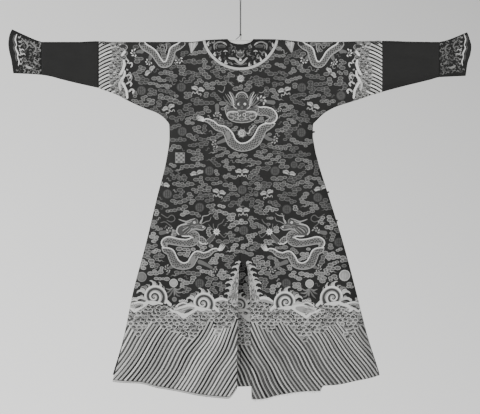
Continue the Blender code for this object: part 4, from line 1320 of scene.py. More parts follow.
# The frontal dragon's neck loop and body: x, y, width
FRONT_NECK = ((14.0, 67.0, 7.0), (19.0, 69.8, 8.2), (24.5, 69.8, 8.6), (30.2, 71.4, 8.4), (32.6, 76.0, 8.0),
              (29.4, 79.6, 5.0), (24.0, 80.6, 2.4))
FRONT_BODY = ((35.0, 82.0, 2.0), (28.5, 84.6, 6.4), (22.2, 88.0, 8.6), (18.8, 94.4, 9.2), (14.6, 100.8, 9.6),
              (7.0, 105.2, 8.4),
              (-1.4, 105.6, 8.2), (-8.6, 101.0, 9.2), (-12.0, 93.6, 8.6), (-16.4, 88.4, 6.8),
              (-23.4, 86.2, 5.8),
              (-28.4, 81.8, 5.0), (-33.0, 79.2, 3.6), (-37.4, 79.0, 2.4))
FRONT_SCROLLS = (
    ("soft", 0.8, ((-22.5, 48.8), (-18.4, 50.8), (-16.4, 48.0), (-15.8, 44.6))),
    ("soft", 0.8, ((18.2, 50.8), (22.0, 51.0), (25.0, 48.0), (26.6, 50.4))),
    ("pale", (0.8, 0.8, 0.5), ((5.8, 91.8), (8.8, 91.6), (9.6, 88.4), (12.0, 86.0), (14.0, 83.4))),
    ("soft", (0.8, 0.7), ((9.4, 88.2), (8.4, 86.4), (10.4, 84.2))),
    ("mid", 0.9, ((25.5, 76.2), (26.8, 75.0), (27.6, 77.0))),
)


def frontal_dragon(art):
    body, neck = np.array(FRONT_BODY), np.array(FRONT_NECK)
    paw(art, 20.9, 59.0, -1.15, 1.0, 5, "pale", leg=[(35.0, 61.4), (28.0, 60.4), (22.0, 59.8)])
    paw(art, -23.2, 74.6, -1.57, 0.85, 4, "light", leg=[(-23.6, 62.0), (-23.4, 68.0), (-23.2, 73.4)])
    paw(art, -25.0, 102.4, 2.6, 0.8, 2, "light", leg=[(-11.5, 97.0), (-18.0, 99.6), (-24.0, 102.0)])
    paw(art, 33.6, 98.4, 0.1, 0.8, 2, "light", leg=[(23.5, 93.5), (28.0, 97.4), (32.6, 98.4)])
    paw(art, 38.0, 67.4, 0.5, 0.65, 2, "light")
    scaled(art, body[:, :2], body[:, 2], 2, 1)
    scaled(art, neck[:, :2], neck[:, 2], 5, -1)
    art.strokes(FRONT_SCROLLS, 3)
    plume(art, -37.4, 78.8, math.pi + 0.75, 1.0, 3, "pale", 6)
    frontal_head(art, 1.3, 62.0, 8)
    pearl(art, 1.3, 91.8, 4.2)
    for x, y, r in ((1, 97, 3), (-20, 50, 2), (22, 50, 2), (27, 76, 4)):
        art.keep(x, y, r)


# A dragon in profile: neck, body and limbs, x, y, width
SIDE_NECK = ((-60.6, -8.4, 3.4), (-55.6, -8.2, 4.6), (-50.6, -8.9, 6.0), (-46.2, -7.4, 8.0),
             (-45.0, -3.9, 8.6),
             (-48.1, -0.4, 8.4), (-53.9, 0.9, 7.4), (-60.6, 0.3, 6.8), (-66.4, -0.8, 7.0), (-71.9, -1.8, 7.4),
             (-76.0, 0.2, 6.6), (-75.4, 3.6, 4.6), (-73.1, 5.1, 3.0))
SIDE_BODY = ((-79.0, 5.4, 2.0), (-75.4, 8.0, 5.4), (-70.4, 10.4, 7.4), (-68.0, 16.0, 8.2), (-64.6, 21.6, 8.6),
             (-57.4, 24.0, 6.6),
             (-50.6, 22.2, 7.0), (-47.0, 16.6, 7.2), (-43.6, 12.2, 6.4), (-37.4, 13.4, 5.8),
             (-31.8, 11.6, 4.8),
             (-27.2, 8.2, 3.4), (-21.6, 7.4, 2.2))
SIDE_LINES = (
    # mane and jaw behind the mouth
    ("pale", 1.2, ((-61.6, -7.2), (-63.9, -10.6), (-62.8, -15.0), (-59.2, -17.4), (-53.4, -18.6))),
    ("soft", 0.8, ((-61.8, -10.2), (-59.6, -13.8), (-54.4, -15.8))),
    ("dark", 0.6, ((-61.0, -9.4), (-58.4, -12.8), (-53.6, -15.0))),
    ("light", 0.9, ((-59.6, -9.6), (-56.8, -12.6), (-52.2, -15.6))),
    ("dark", 0.6, ((-58.2, -9.0), (-55.4, -11.6), (-51.4, -14.6))),
    ("soft", 0.8, ((-57.0, -8.4), (-54.2, -10.8), (-50.2, -14.2))),
    ("dark", 0.6, ((-55.0, -8.8), (-52.6, -11.0), (-49.4, -13.8))),
    ("light", 0.8, ((-53.4, -8.8), (-50.8, -11.2), (-48.2, -14.6))),
    ("soft", 0.7, ((-58.6, -16.4), (-54.6, -17.6), (-50.6, -18.4))),
    ("dark", 0.6, ((-56.8, -15.6), (-53.0, -16.8), (-49.2, -17.6))),
    ("soft", 0.7, ((-50.4, -16.2), (-48.2, -16.6), (-44.4, -15.8))),
    # lips and nose
    ("light", (1.0, 1.3, 1.2, 0.9, 0.6),
     ((-53.0, -9.2), (-49.0, -12.2), (-45.2, -13.4), (-41.0, -12.6), (-37.6, -12.4), (-34.6, -15.2))),
    ("soft", 1.0, ((-46.4, -14.6), (-43.4, -16.8), (-39.0, -16.8), (-35.6, -15.2))),
    ("soft", 0.7, ((-44.6, -14.6), (-42.4, -15.4), (-39.6, -14.8))),
    # horns and brow
    ("light", (0.7, 1.4, 1.2, 0.8),
     ((-62.4, -23.2), (-57.6, -21.4), (-54.0, -20.8), (-50.0, -22.4), (-45.0, -23.8))),
    ("light", (0.8, 0.9, 0.5), ((-56.0, -19.6), (-51.0, -20.2), (-48.2, -22.0))),
    ("soft", 0.7, ((-44.6, -23.6), (-42.8, -21.4), (-44.0, -18.8))),
    # whiskers
    ("light", (2.0, 1.8, 1.1, 0.9, 0.7, 0.4),
     ((-40.6, -18.4), (-39.4, -21.2), (-38.2, -23.4), (-37.8, -26.0), (-33.0, -27.0), (-29.8, -29.4))),
    ("soft", (1.0, 0.9, 0.5),
     ((-39.8, -17.8), (-38.0, -18.8), (-34.4, -20.8), (-31.0, -21.8), (-29.4, -25.8))),
    # curling hair and flames round it
    ("mid", 0.8, ((-79.6, -28.4), (-76.4, -26.2), (-73.2, -24.6), (-69.4, -27.2), (-66.4, -25.6),
                  (-66.0, -22.4), (-69.6, -20.4), (-74.0, -22.2))),
    ("mid", 0.8, ((-80.4, -19.6), (-75.6, -20.4), (-71.6, -17.6), (-68.6, -15.2))),
    ("mid", 0.8, ((-26.2, -11.2), (-29.8, -14.8), (-32.2, -18.2))),
    ("mid", 0.8, ((-25.2, -12.2), (-27.0, -15.2), (-27.4, -19.0))),
    ("mid", 0.8, ((-23.0, -13.0), (-22.4, -17.2), (-18.8, -19.4), (-16.2, -23.4))),
    ("mid", 0.8, ((-21.4, -9.4), (-18.6, -6.4), (-16.0, -4.8), (-13.4, -8.2))),
    ("pale", 1.0, ((-36.8, 1.0), (-34.8, 2.2), (-32.4, 0.2))),
)
SIDE_HEAD = ((-63.6, -9.6), (-63.4, -14.2), (-60.0, -17.2), (-54.0, -19.0), (-49.6, -20.8), (-45.0, -22.8),
             (-42.2, -20.6), (-41.4, -17.6),
             (-36.0, -16.2), (-34.8, -14.4), (-37.0, -12.6), (-42.0, -11.6), (-46.4, -12.0), (-51.0, -9.4),
             (-56.0, -7.0), (-61.0, -6.8))


def side_dragon(art, x, y, flip, size=1.0):
    """A dragon that chases a pearl, in profile. x, y is where the tables' origin lies."""
    art.at(x, y, size, 0.0, flip)
    body, neck = np.array(SIDE_BODY), np.array(SIDE_NECK)
    paw(art, -70.6, -11.4, -2.3, 0.8, 3, "light", leg=[(-82.0, -9.0), (-76.0, -10.0), (-71.6, -11.0)])
    paw(art, -72.6, 26.0, 2.5, 0.75, 2, "light", leg=[(-65.0, 22.0), (-69.0, 24.6), (-72.0, 25.8)])
    paw(art, -27.0, 27.0, 0.6, 0.75, 2, "light", leg=[(-43.0, 19.0), (-36.0, 21.6), (-28.0, 26.2)])
    art.edged([(-34.0, 1.4), (-30.6, -2.4), (-26.0, -7.4)], (4.4, 3.6, 2.8), "dull", "soft", 2, 0.5)
    scaled(art, [(-42.0, -6.0), (-38.6, -2.0), (-34.0, 0.6)], (5.0, 6.0, 4.6), 2, 1)
    scaled(art, body[:, :2], body[:, 2], 3, -1)
    scaled(art, neck[:, :2], neck[:, 2], 6, 1)
    plume(art, -21.4, 7.4, -0.55, 1.0, 4, "pale", 6)
    outline = smooth_line(list(SIDE_HEAD) + [SIDE_HEAD[0]], 1.1)[:-1]
    art.blob(outline, "dull", 9, 2)
    art.strokes(SIDE_LINES, 10)
    for r, tone, level in ((1.9, "mid", 10), (1.15, "white", 11), (0.45, "deep", 11.6)):
        art.disc(-46.3, -19.8, r, tone, level, 9)
    art.disc(-37.4, -15.2, 1.0, "pale", 11, 8)
    for k in range(9):
        a = 0.3 + 2 * math.pi * k / 9
        root = (-24.0 + 1.6 * math.cos(a), -10.4 + 1.6 * math.sin(a))
        tip = (-24.0 + 3.9 * math.cos(a + 0.2), -10.4 + 3.9 * math.sin(a + 0.2))
        art.band([root, tip], (1.7, 0.5), "pale", 10.6, "round", 0.9)
    art.disc(-24.0, -10.4, 2.5, "white", 11, 11)
    art.band(spiral(-24.0, -10.4, 1.7, 0.3, 40, 1.3, 14), 0.6, "mid", 11.6, "cut", 0.7)
    for row in SIDE_LINES:
        for px, py in row[2][::2]:
            art.keep(px, py, 1.6)
    for kx, ky, r in ((-56, -13, 7), (-48, -17, 6), (-40, -15, 4), (-24, -10, 4), (-54, -1, 5), (-38, -5, 4)):
        art.keep(kx, ky, r)
    art.back()


# Where the mosaic water ends and the slanting stripes begin: x, y, in steps
WATER_END = (
    (-118, 288), (-113, 286.2), (-99.8, 296.2), (-91.4, 279.6), (-79.8, 287.9), (-65.6, 291.2),
    (-57.3, 293.7), (-50.6, 299.6), (-42.3, 292.1),
    (-36.4, 284.6), (-28.9, 280.4), (-23.1, 295.4), (-15.6, 287.9), (-3.9, 279.4), (0, 276), (11.2, 280.5),
    (24, 289),
    (32.4, 295), (39.1, 282.5), (48.8, 286.3), (62.3, 302.1), (71.9, 292), (85.4, 290.2), (97, 279.6),
    (107.6, 297.9), (115.3, 288.2), (125, 285),
)
# Wave crests: x, y, radius, flip
CRESTS = ((-86.4, 256.0, 11.6, False), (-37.6, 262.6, 11.0, False), (45.5, 261.5, 11.0, True),
          (92.5, 256.7, 11.6, True))
# How far the stripes move sideways for each step down. For each side: x of the columns outwards,
# then their values at each of SLOPE_ROWS. These were measured on the photo.
SLOPE_ROWS = (289.0, 305.0, 321.0, 337.0, 347.0)
SLOPES = {
    -1: ((14, 26, 38, 50, 62, 74, 86, 98, 110), (0.36, 0.48, 0.52, 0.78, 0.98, 0.80, 0.68, 0.68, 0.55),
         (0.36, 0.56, 0.80, 0.88, 0.64, 0.55, 0.56, 0.54, 0.53),
         (0.72, 0.72, 0.63, 0.50, 0.44, 0.50, 0.57, 0.62, 0.75),
         (0.60, 0.54, 0.55, 0.60, 0.66, 0.80, 0.81, 0.78, 0.90),
         (0.64, 0.64, 0.65, 0.65, 0.70, 0.84, 0.78, 0.76, 0.80)),
    1: ((21, 33, 45, 57, 69, 81, 93, 105, 117, 129),
        (0.44, 0.50, 0.58, 0.88, 1.00, 0.74, 0.72, 0.76, 0.60, 0.58),
        (0.50, 0.69, 0.82, 0.82, 0.66, 0.52, 0.54, 0.66, 0.80, 0.96),
        (0.68, 0.62, 0.48, 0.42, 0.47, 0.57, 0.74, 0.78, 0.86, 0.78),
        (0.34, 0.42, 0.60, 0.74, 0.79, 0.81, 0.81, 0.78, 0.78, 0.60),
        (0.50, 0.64, 0.74, 0.76, 0.79, 0.81, 0.76, 0.73, 0.82, 0.88)),
}


def table_at(table, x):
    keys = [row[0] for row in table]
    return np.interp(x, keys, [row[1] for row in table])


CREST_LINES = (
    ("white", (3.6, 2.6), ((10.8, 3.0), (13.2, 5.2), (17.0, 8.6))),
    ("pale", 2.6, ((-7.0, 2.8), (-11.0, 1.2), (-15.0, 0.8), (-19.0, 3.4))),
    ("white", (1.4, 2.8, 3.0, 2.6, 1.6), ((8.8, 7.0), (0.4, 5.4), (-6.0, 5.4), (-13.4, 8.0), (-18.0, 10.6))),
    ("white", (2.2, 3.0, 2.4), ((-25.0, 8.2), (-19.4, 11.0), (-15.8, 13.8))),
    ("mid", (0.8, 1.6, 1.2, 0.6), ((-8.0, 3.6), (-13.0, 4.4), (-18.0, 6.2), (-21.0, 7.2))),
)
# The foam round a crest: degrees from its top, size
FOAM = ((-90, 0.8), (-67, 1.4), (-47, 1.1), (-28, 0.7), (-6, 1.2), (10, 0.6), (25, 0.95), (46, 0.6))
# The spiral of a crest: degrees turned, radius
SPIRAL = ((0, 12.6), (34, 12.0), (124, 10.7), (214, 8.9), (304, 7.0), (394, 5.9), (484, 5.0), (574, 3.9),
          (664, 2.6), (754, 1.4), (810, 0.5))


def crest(art, x, y, r, flip):
    """A rolling wave: a broad white spiral on grey water, with foam fingers."""
    art.at(x, y, r / 11.5, 0.0, flip)
    for (lean, size), tone in zip(FOAM, ("light", "pale", "soft", "light", "pale", "soft", "pale", "light")):
        a = math.radians(lean)
        hook(art, 11.4 * math.sin(a), -11.4 * math.cos(a), a, 0.84 * size, 2, tone)
    turned = np.linspace(0, 810, 80)
    out, a = table_at(SPIRAL, turned), np.radians(34 - turned)
    line = np.stack([out * np.cos(a), out * np.sin(a)], -1)
    art.disc(-0.6, -0.4, 8.8, "light", 3, 28)
    for reach, wide, tone, level in ((1.3, 1.3, "light", 3.4), (1.9, 1.2, "soft", 3.6),
                                     (2.8, 1.9, "dim", 3.8)):
        room = out > reach * np.minimum(1, out / 8) + 0.8
        share = np.minimum(1, out / 8)[room]
        inner = line[room] * (1 - reach * share / out[room])[:, None]
        art.band(inner, wide * mix(0.6, 1.0, share), tone, level, "cut", 1.1)
    art.band(line, (1.6, 2.0, 1.9, 1.8, 1.6, 1.3, 1.0), "white", 4.4, "round", 1.1)
    art.strokes(CREST_LINES, 5)
    art.keep(0, 0, 13.0)
    art.back()


# The white water between two crests, from the lowest point of its V
TROUGH = (
    ("light", (4.0, 7.0, 4.0), ((-9.0, -7.4), (1.0, -7.8), (11.0, -8.8))),
    ("soft", (0.8, 2.6, 1.0), ((-6.6, -8.4), (0.4, -7.8), (7.6, -8.8))),
    ("white", 2.3, ((-10.0, -8.0), (-2.4, -10.0), (4.6, -12.0), (10.4, -11.4), (15.0, -9.8))),
    ("white", (1.8, 2.6, 2.8, 2.8, 2.0),
     ((-14.4, -8.6), (-10.8, -6.2), (-6.6, -5.2), (-3.0, -2.8), (0.0, -0.4), (3.6, -2.8), (7.4, -5.0),
      (12.4, -8.0), (17.0, -10.8))),
    ("dull", (0.8, 2.8, 1.0), ((0.2, -4.0), (4.4, -6.4), (9.4, -8.4))),
    ("dark", (0.6, 1.5, 0.6), ((1.2, -4.2), (4.6, -6.0), (8.2, -7.8))),
    ("pale", (0.6, 0.9, 0.6), ((-4.0, -6.6), (1.0, -8.0), (6.4, -10.0))),
    ("white", (0.8, 1.4, 1.4, 0.8), ((-8.4, -10.4), (-4.4, -13.4), (0.0, -14.8), (4.0, -13.6))),
    ("mid", (0.8, 1.4, 0.8), ((-6.4, -9.6), (-2.2, -12.0), (2.2, -13.0))),
)


def trough(art, x, y, size=1.0, flip=False):
    art.at(x, y, size, 0.0, flip)
    art.strokes(TROUGH, 6)
    for k in range(4):
        art.disc(-3.6 + 2.2 * k, -16.4 - 0.5 * math.sin(k * 1.1), 1.3, "pale", 6, 7)
        art.disc(-3.6 + 2.2 * k, -16.3 - 0.5 * math.sin(k * 1.1), 0.5, "dim", 6.5, 5)
    for kx, ky in ((-8, -10), (0, -12), (8, -12), (0, -16)):
        art.keep(kx, ky, 4.0)
    art.back()


def rock(art, right, left, y0, y1):
    """A column of foam beside the vent, from the lines of its two sides: (x, y) down."""
    y = np.arange(y0, y1, 1.2)
    a, b = table_at(right, y), table_at(left, y)
    way = np.sign(a[0] - b[0])
    middle = np.stack([(a + b) / 2, y], -1)
    art.band(middle, np.abs(a - b), "soft", 2, "cut", 1.3)
    chance = random.Random(int(y0) + int(way))
    for k in range(150):
        py, share = chance.uniform(y0, y1 - 3), chance.uniform(0.06, 0.94)
        px, sway = mix(table_at(right, py), table_at(left, py), share), chance.uniform(-1.0, 1.0)
        low = mix(table_at(right, py + 3), table_at(left, py + 3), share)
        tone = chance.choice(("pale", "pale", "light", "dull", "mid"))
        art.band([(px, py), (px + sway, py + 1.4), (low, py + 3.0)], (0.5, 0.9, 0.5), tone, 2.6, "round", 0.9)
    art.band(np.stack([mix(a, b, 0.95), y], -1), 1.0, "pale", 2.8, "taper", 1.2)
    for k in range(7):
        py = y0 + 1.0 + 5.2 * k
        px = table_at(left, py)
        hook(art, px + 0.6 * way, py, -0.9 * way, (0.8, 1.15, 0.9)[k % 3], 2.2, "pale", way < 0)
        art.keep(px, py, 2.0)
    for py in range(int(y0), int(y1), 5):
        art.keep(float(table_at(left, py) + table_at(right, py)) / 2, py, 5.0)


def water(art, top, x0, x1, seed, end=WATER_END):
    """Mosaic water: rows of scallops with pale rims and dark hollows."""
    chance = random.Random(seed)
    y, odd = 256.0, 0
    while y < 308:
        x = x0 + (odd % 2) * 2.7
        while x < x1:
            px, py = x + chance.uniform(-0.9, 0.9), y + chance.uniform(-0.6, 0.6)
            if top(px) < py < table_at(end, px) - 0.6:
                lift = 0.15 * (odd % 3)
                wide = chance.uniform(2.6, 3.1)
                art.disc(px, py, wide, "pale" if chance.random() < 0.7 else "light", lift, 9, 0.76)
                art.disc(px, py + 0.1, wide - 0.95, chance.choice(("soft", "mid", "mid", "dull")), 0.5 + lift,
                         8, 0.70)
                way = chance.choice((-1, 1))
                if chance.random() < 0.7:
                    hollow = [(px - 1.7 * way, py - 0.9), (px - 0.4 * way, py - 1.1),
                              (px + 1.5 * way, py - 0.2), (px + 1.7 * way, py + 0.8)]
                    tone = "dim" if chance.random() < 0.5 else "dark"
                    art.band(hollow, (0.6, 1.4, 1.4, 0.6), tone, 1 + lift, "round", 0.9)
                art.band([(px - 0.9 * way, py + 0.4), (px + 0.4 * way, py + 0.7)], 0.6, "light", 1 + lift,
                         "round", 0.9)
            x += 5.2
        y += 3.35
        odd += 1


STRIPE_PITCH = 4.27


def stripe_slope(side, x, y):
    columns, *rows = SLOPES[side]
    return np.interp(y, SLOPE_ROWS, [np.interp(x, columns, row) for row in rows])


def stripes(art, side, x_inner, x_outer, y_end, seed, begin=None):
    """Slanting S-shaped stripes of standing water down to the hem."""
    chance = random.Random(seed)
    begin = begin or (lambda x: table_at(WATER_END, x))
    middle = 318.0
    start = x_inner - 40.0
    while start < x_outer + 40:
        rows = {}
        for way in (-1, 1):
            x, y = start, middle
            while 272 < y < y_end + 2:
                rows[y] = x
                x += way * 1.5 * stripe_slope(side, x, y)
                y += way * 1.5
        ys = np.array(sorted(rows))
        xs = np.array([rows[y] for y in ys])
        inside = (ys > begin(side * xs) - 5.0) & (xs > x_inner - 3) & (xs < x_outer + 3)
        if inside.sum() > 3:
            p = np.stack([side * xs[inside], ys[inside]], -1)
            tones = ("pale", "pale", "white") if side < 0 else ("light", "pale", "pale")
            art.band(p, 1.75 if side < 0 else 1.6, chance.choice(tones), -1.2, "cut", 1.5)
            if chance.random() < 0.5:
                art.band(p + (0.3, 0), 0.4, "light", -0.8, "cut", 2.2)
            if chance.random() < 0.8:
                art.band(p + (side * STRIPE_PITCH / 2, 0), 1.3, chance.choice(("dim", "dull")), -1.8, "cut",
                         2.2)
        start += STRIPE_PITCH


def tide(art):
    """All of the water at the hem, between the clouds and the stripes."""
    for x, y, r, flip in CRESTS:
        crest(art, x, y, r, flip)
    trough(art, -57.0, 276.6)
    trough(art, -106.0, 271.0, 0.8)
    trough(art, 66.0, 276.4, 1.0, True)
    trough(art, 118.0, 271.0, 0.8, True)
    for line in (((-31, 262.4), (-25, 259.4), (-19, 257.8), (-12, 259.6)),
                 ((15.6, 260.4), (20.6, 257.2), (26.6, 257.4), (33.0, 261.0))):
        art.band([(px, py + 1.8) for px, py in line], (2.6, 4.4, 4.4, 2.6), "light", 0.9, "round", 1.0)
        art.band(line, (1.4, 2.6, 2.8, 1.4), "white", 2.4, "round", 1.0)

    def top(x):
        near = min(abs(abs(x) - 88), abs(x + 37.5), abs(x - 45.5))
        return 263 + 1.5 * max(0.0, 1 - near / 15) - (5 if abs(x) < 24 else 0)

    water(art, top, -126, 130, 7)


# --- collar, seams and edges ------------------------------------------------------------------
def on_cloth(layer, x, drop):
    x = np.asarray(x, float)
    return SURFACES[layer](x, v_at(x, np.asarray(drop, float)))


def facing(name, layer, inner, outer, look, nodes, slot_name, rows=14, thick=0.0012, lift=0.0020,
           crown=0.0):
    """A piece laid on the cloth between two lines of (x, drop)."""
    share = np.linspace(0, 1, rows)[:, None]
    x = mix(inner[0][None, :], outer[0][None, :], share)
    drop = mix(inner[1][None, :], outer[1][None, :], share)
    raise_by = lift + crown * np.sin(math.pi * share)[..., None]
    thing = shell(name, on_cloth(layer, x, drop), look, thick=thick,
                  sign=-1 if layer == "back" else 1, lift=raise_by)
    return placed(thing, slot_name, *nodes)


def arc_line(half, depth, centre, first, last, count):
    a = np.radians(np.linspace(first, last, count))
    return np.array([half * np.sin(a), centre + depth * np.cos(a)])


def moved_line(line, width):
    run = np.gradient(line, axis=1)
    run /= np.linalg.norm(run, axis=0)
    return np.array([line[0] - run[1] * width, line[1] + run[0] * width])


def piping(name, layer, lines, node):
    """The pale edging along a facing, a little proud in its middle."""
    facing(name, layer, *lines, LOOKS["edging"], [node], "pale_edging", 6, 0.0014, 0.0020, 0.0007)


def collar():
    band = LOOKS["band"]
    # back
    inner = arc_line(NECK_HALF + SEAM, BACK_SCOOP + SEAM, FOLD_TOP_0, -89.5, 89.5, 90)
    outer = arc_line(BACK_COLLAR_RADIUS, BACK_COLLAR_RADIUS, BACK_COLLAR_CENTRE, -77, 77, 90)
    facing("collar_facing_back", "back", inner, outer, band, ["collar_back"], "facing_silk", 20)
    near = BACK_COLLAR_RADIUS + 2 * SEAM
    lines = [arc_line(r, r, BACK_COLLAR_CENTRE, -76, 76, 110) for r in (near, near + EDGING_WIDTH)]
    piping("collar_piping_back", "back", lines, "edging_back")
    # outer front, left half
    inner = arc_line(NECK_HALF + SEAM, FRONT_SCOOP + SEAM, FOLD_TOP_0, -89.5, -0.4, 60)
    outer = arc_line(FRONT_COLLAR_HALF, FRONT_COLLAR_DEPTH, FOLD_TOP_0, -89.5, -0.2, 60)
    facing("collar_facing_left", "front", inner, outer, band, ["collar_front_left"], "facing_silk", 18)
    lines = [arc_line(FRONT_COLLAR_HALF + w, FRONT_COLLAR_DEPTH + w, FOLD_TOP_0, -89.5, -0.2, 70)
             for w in (2 * SEAM, 2 * SEAM + EDGING_WIDTH)]
    piping("collar_piping_left", "front", lines, "edging_front_left")
    # underlap, above the overlap's edge
    edge_x, edge_v = along(OVERLAP_EDGE, np.linspace(0, 1, 60))
    inner = arc_line(NECK_HALF + SEAM, FRONT_SCOOP + SEAM, FOLD_TOP_0, 6, 89.5, 50)
    outer = arc_line(FRONT_COLLAR_HALF, FRONT_COLLAR_DEPTH, FOLD_TOP_0, 6, 89.5, 50)
    shares = np.linspace(0, 1, 80)[:, None]
    rays = mix(inner[:, None, :], outer[:, None, :], shares)
    free = rays[1] < np.interp(rays[0], edge_x, edge_v) - 0.0015
    reach = np.array([shares[max(int(free[:, k].argmin()) - 1, 1), 0] if not free[:, k].all() else 1.0
                      for k in range(50)])
    outer = mix(inner, outer, reach)
    facing("collar_facing_right", "under", inner, outer, band, ["collar_front_right"], "facing_silk", 14)
    lines = [arc_line(FRONT_COLLAR_HALF + w, FRONT_COLLAR_DEPTH + w, FOLD_TOP_0, 37, 89.5, 50)
             for w in (2 * SEAM, 2 * SEAM + EDGING_WIDTH)]
    piping("collar_piping_right", "under", lines, "edging_front_right")
    # the overlap's curved edge
    top = np.array(along(OVERLAP_EDGE + ((0.3085, 0.400), (0.3105, 0.430)), np.linspace(0, 0.985, 90)))
    low = np.array(along(LAPEL_EDGE + ((0.288, 0.430), (0.3045, 0.430)), np.linspace(0, 0.985, 90)))
    top[0] = np.maximum(top[0], SEAM)
    low[0] = np.maximum(low[0], SEAM)
    facing("lapel_facing", "front", top + np.array([[0.0], [0.0006]]), low, band, ["collar_lapel"],
           "facing_silk", 16)
    edge = np.array(along(LAPEL_EDGE, np.linspace(0, 1, 90)))
    edge[0] = np.maximum(edge[0], 2 * SEAM)
    lines = [moved_line(edge, w) for w in (2 * SEAM, 2 * SEAM + EDGING_WIDTH)]
    for line in lines:
        line[0] = np.clip(line[0], SEAM, None)
    piping("lapel_piping", "front", lines, "edging_lapel")


def seams():
    """The turned side seams, and the allowance inside the centre seam."""
    for label, side, hem in (("left", -1, BACK_HEM_LEFT), ("right", 1, BACK_HEM_RIGHT)):
        v = np.linspace(0.201, HEM_LEVEL, 260)
        x = half_width(side, v) - 0.0004
        low = hem_place(v, hem, x)
        points = [(side * a, 0.0, -HANG_HEIGHT - b) for a, b in zip(x, low - 0.0006)]
        seam = line_object("side_seam_" + label, points, 0.0019, LOOKS["seam"], sides=1)
        placed(seam, "patterned_silk")
    v, x = np.meshgrid(np.arange(0.0125, SEAM_END, 0.0062), (-0.009, -0.003, 0.003, 0.009), indexing="ij")
    allowance = shell("seam_allowance_back", SURFACES["back"](x, v), LOOKS["seam"], thick=0.0005,
                      sign=-1, lift=-0.0011)
    placed(allowance, "patterned_silk")


def threads(name, layer, hem, side, x0, x1, count, look, seed, longest=0.011):
    """Loose warp ends that hang from a frayed hem."""
    chance = random.Random(seed)
    points, faces = [], []
    for k in range(count):
        x = side * (x0 + (x1 - x0) * (k + chance.random()) / count)
        v = float(curve(hem, 1, abs(x)))
        length = longest * chance.uniform(0.25, 1.0) ** 1.4
        lean, thick = chance.uniform(-0.35, 0.35), chance.uniform(0.0002, 0.0004)
        start = SURFACES[layer](np.array([x]), np.array([v - 0.002]))[0]
        base = len(points)
        for j in range(4):
            t = j / 3
            cx = start[0] + lean * length * t * t
            cz = start[2] - (length + 0.002) * t
            cy = start[1] + chance.uniform(-0.0008, 0.0008)
            points += [(cx - thick, cy, cz), (cx + thick, cy, cz)]
        faces += [[base + 2 * j, base + 2 * j + 1, base + 2 * j + 3, base + 2 * j + 2] for j in range(3)]
    thing = add_mesh(name, np.array(points), [np.array(faces)], [look])
    return placed(thing, "patterned_silk")


# --- camera and cord --------------------------------------------------------------------------
def camera():
    data = bpy.data.cameras.new("camera")
    thing = bpy.data.objects.new("camera", data)
    bpy.context.scene.collection.objects.link(thing)
    thing.location = (-0.0022, -6.54, -0.9270)
    thing.rotation_euler = (math.pi / 2, 0, 0)
    data.sensor_width = 36
    data.lens = 36 * 6.5 / 2.0750
    data.clip_end = 50
    bpy.context.scene.camera = thing


def cord_points():
    foot = ROD_DROP - (FOLD_RADIUS + CENTRE_RISE) + WALL / 2 + FOLD_GAP - 0.0014
    crown = -HANG_HEIGHT + LOOP_RADIUS
    reach = LOOP_RADIUS + CORD_RADIUS
    left, right = CORD_FEET
    rising = [(left, foot), (mix(left, -STRAND_HALF, 0.55), -0.0200),
              (mix(left, -STRAND_HALF, 0.86), -0.0256), (-STRAND_HALF - 0.0004, -0.0290),
              (-STRAND_HALF, KNOT_DROP - 0.0015)]
    strand = [(STRAND_HALF, -0.045), (STRAND_HALF, -0.080), (STRAND_HALF, -0.115),
              (STRAND_HALF, -0.150), (STRAND_HALF + 0.0002, -0.176), (0.0032, -0.190)]
    over = [(-reach * math.cos(math.radians(a)), crown - reach * math.sin(math.radians(a)))
            for a in range(0, 181, 22)]
    falling = [(STRAND_HALF, KNOT_DROP), (STRAND_HALF + 0.0003, -0.0260), (0.0016, -0.0180),
               (right, foot)]
    path = rising + [(-x, drop) for x, drop in strand] + over + strand[::-1] + falling
    return [(x, 0.0, -HANG_HEIGHT - drop) for x, drop in path]


def line_object(name, points, radius, look, sides=2):
    data = bpy.data.curves.new(name, "CURVE")
    data.dimensions = "3D"
    data.bevel_depth = radius
    data.bevel_resolution = sides
    data.use_fill_caps = True
    spline = data.splines.new("POLY")
    spline.points.add(len(points) - 1)
    for point, place in zip(spline.points, points):
        point.co = (*place, 1)
    thing = bpy.data.objects.new(name, data)
    data.materials.append(look)
    bpy.context.scene.collection.objects.link(thing)
    return thing


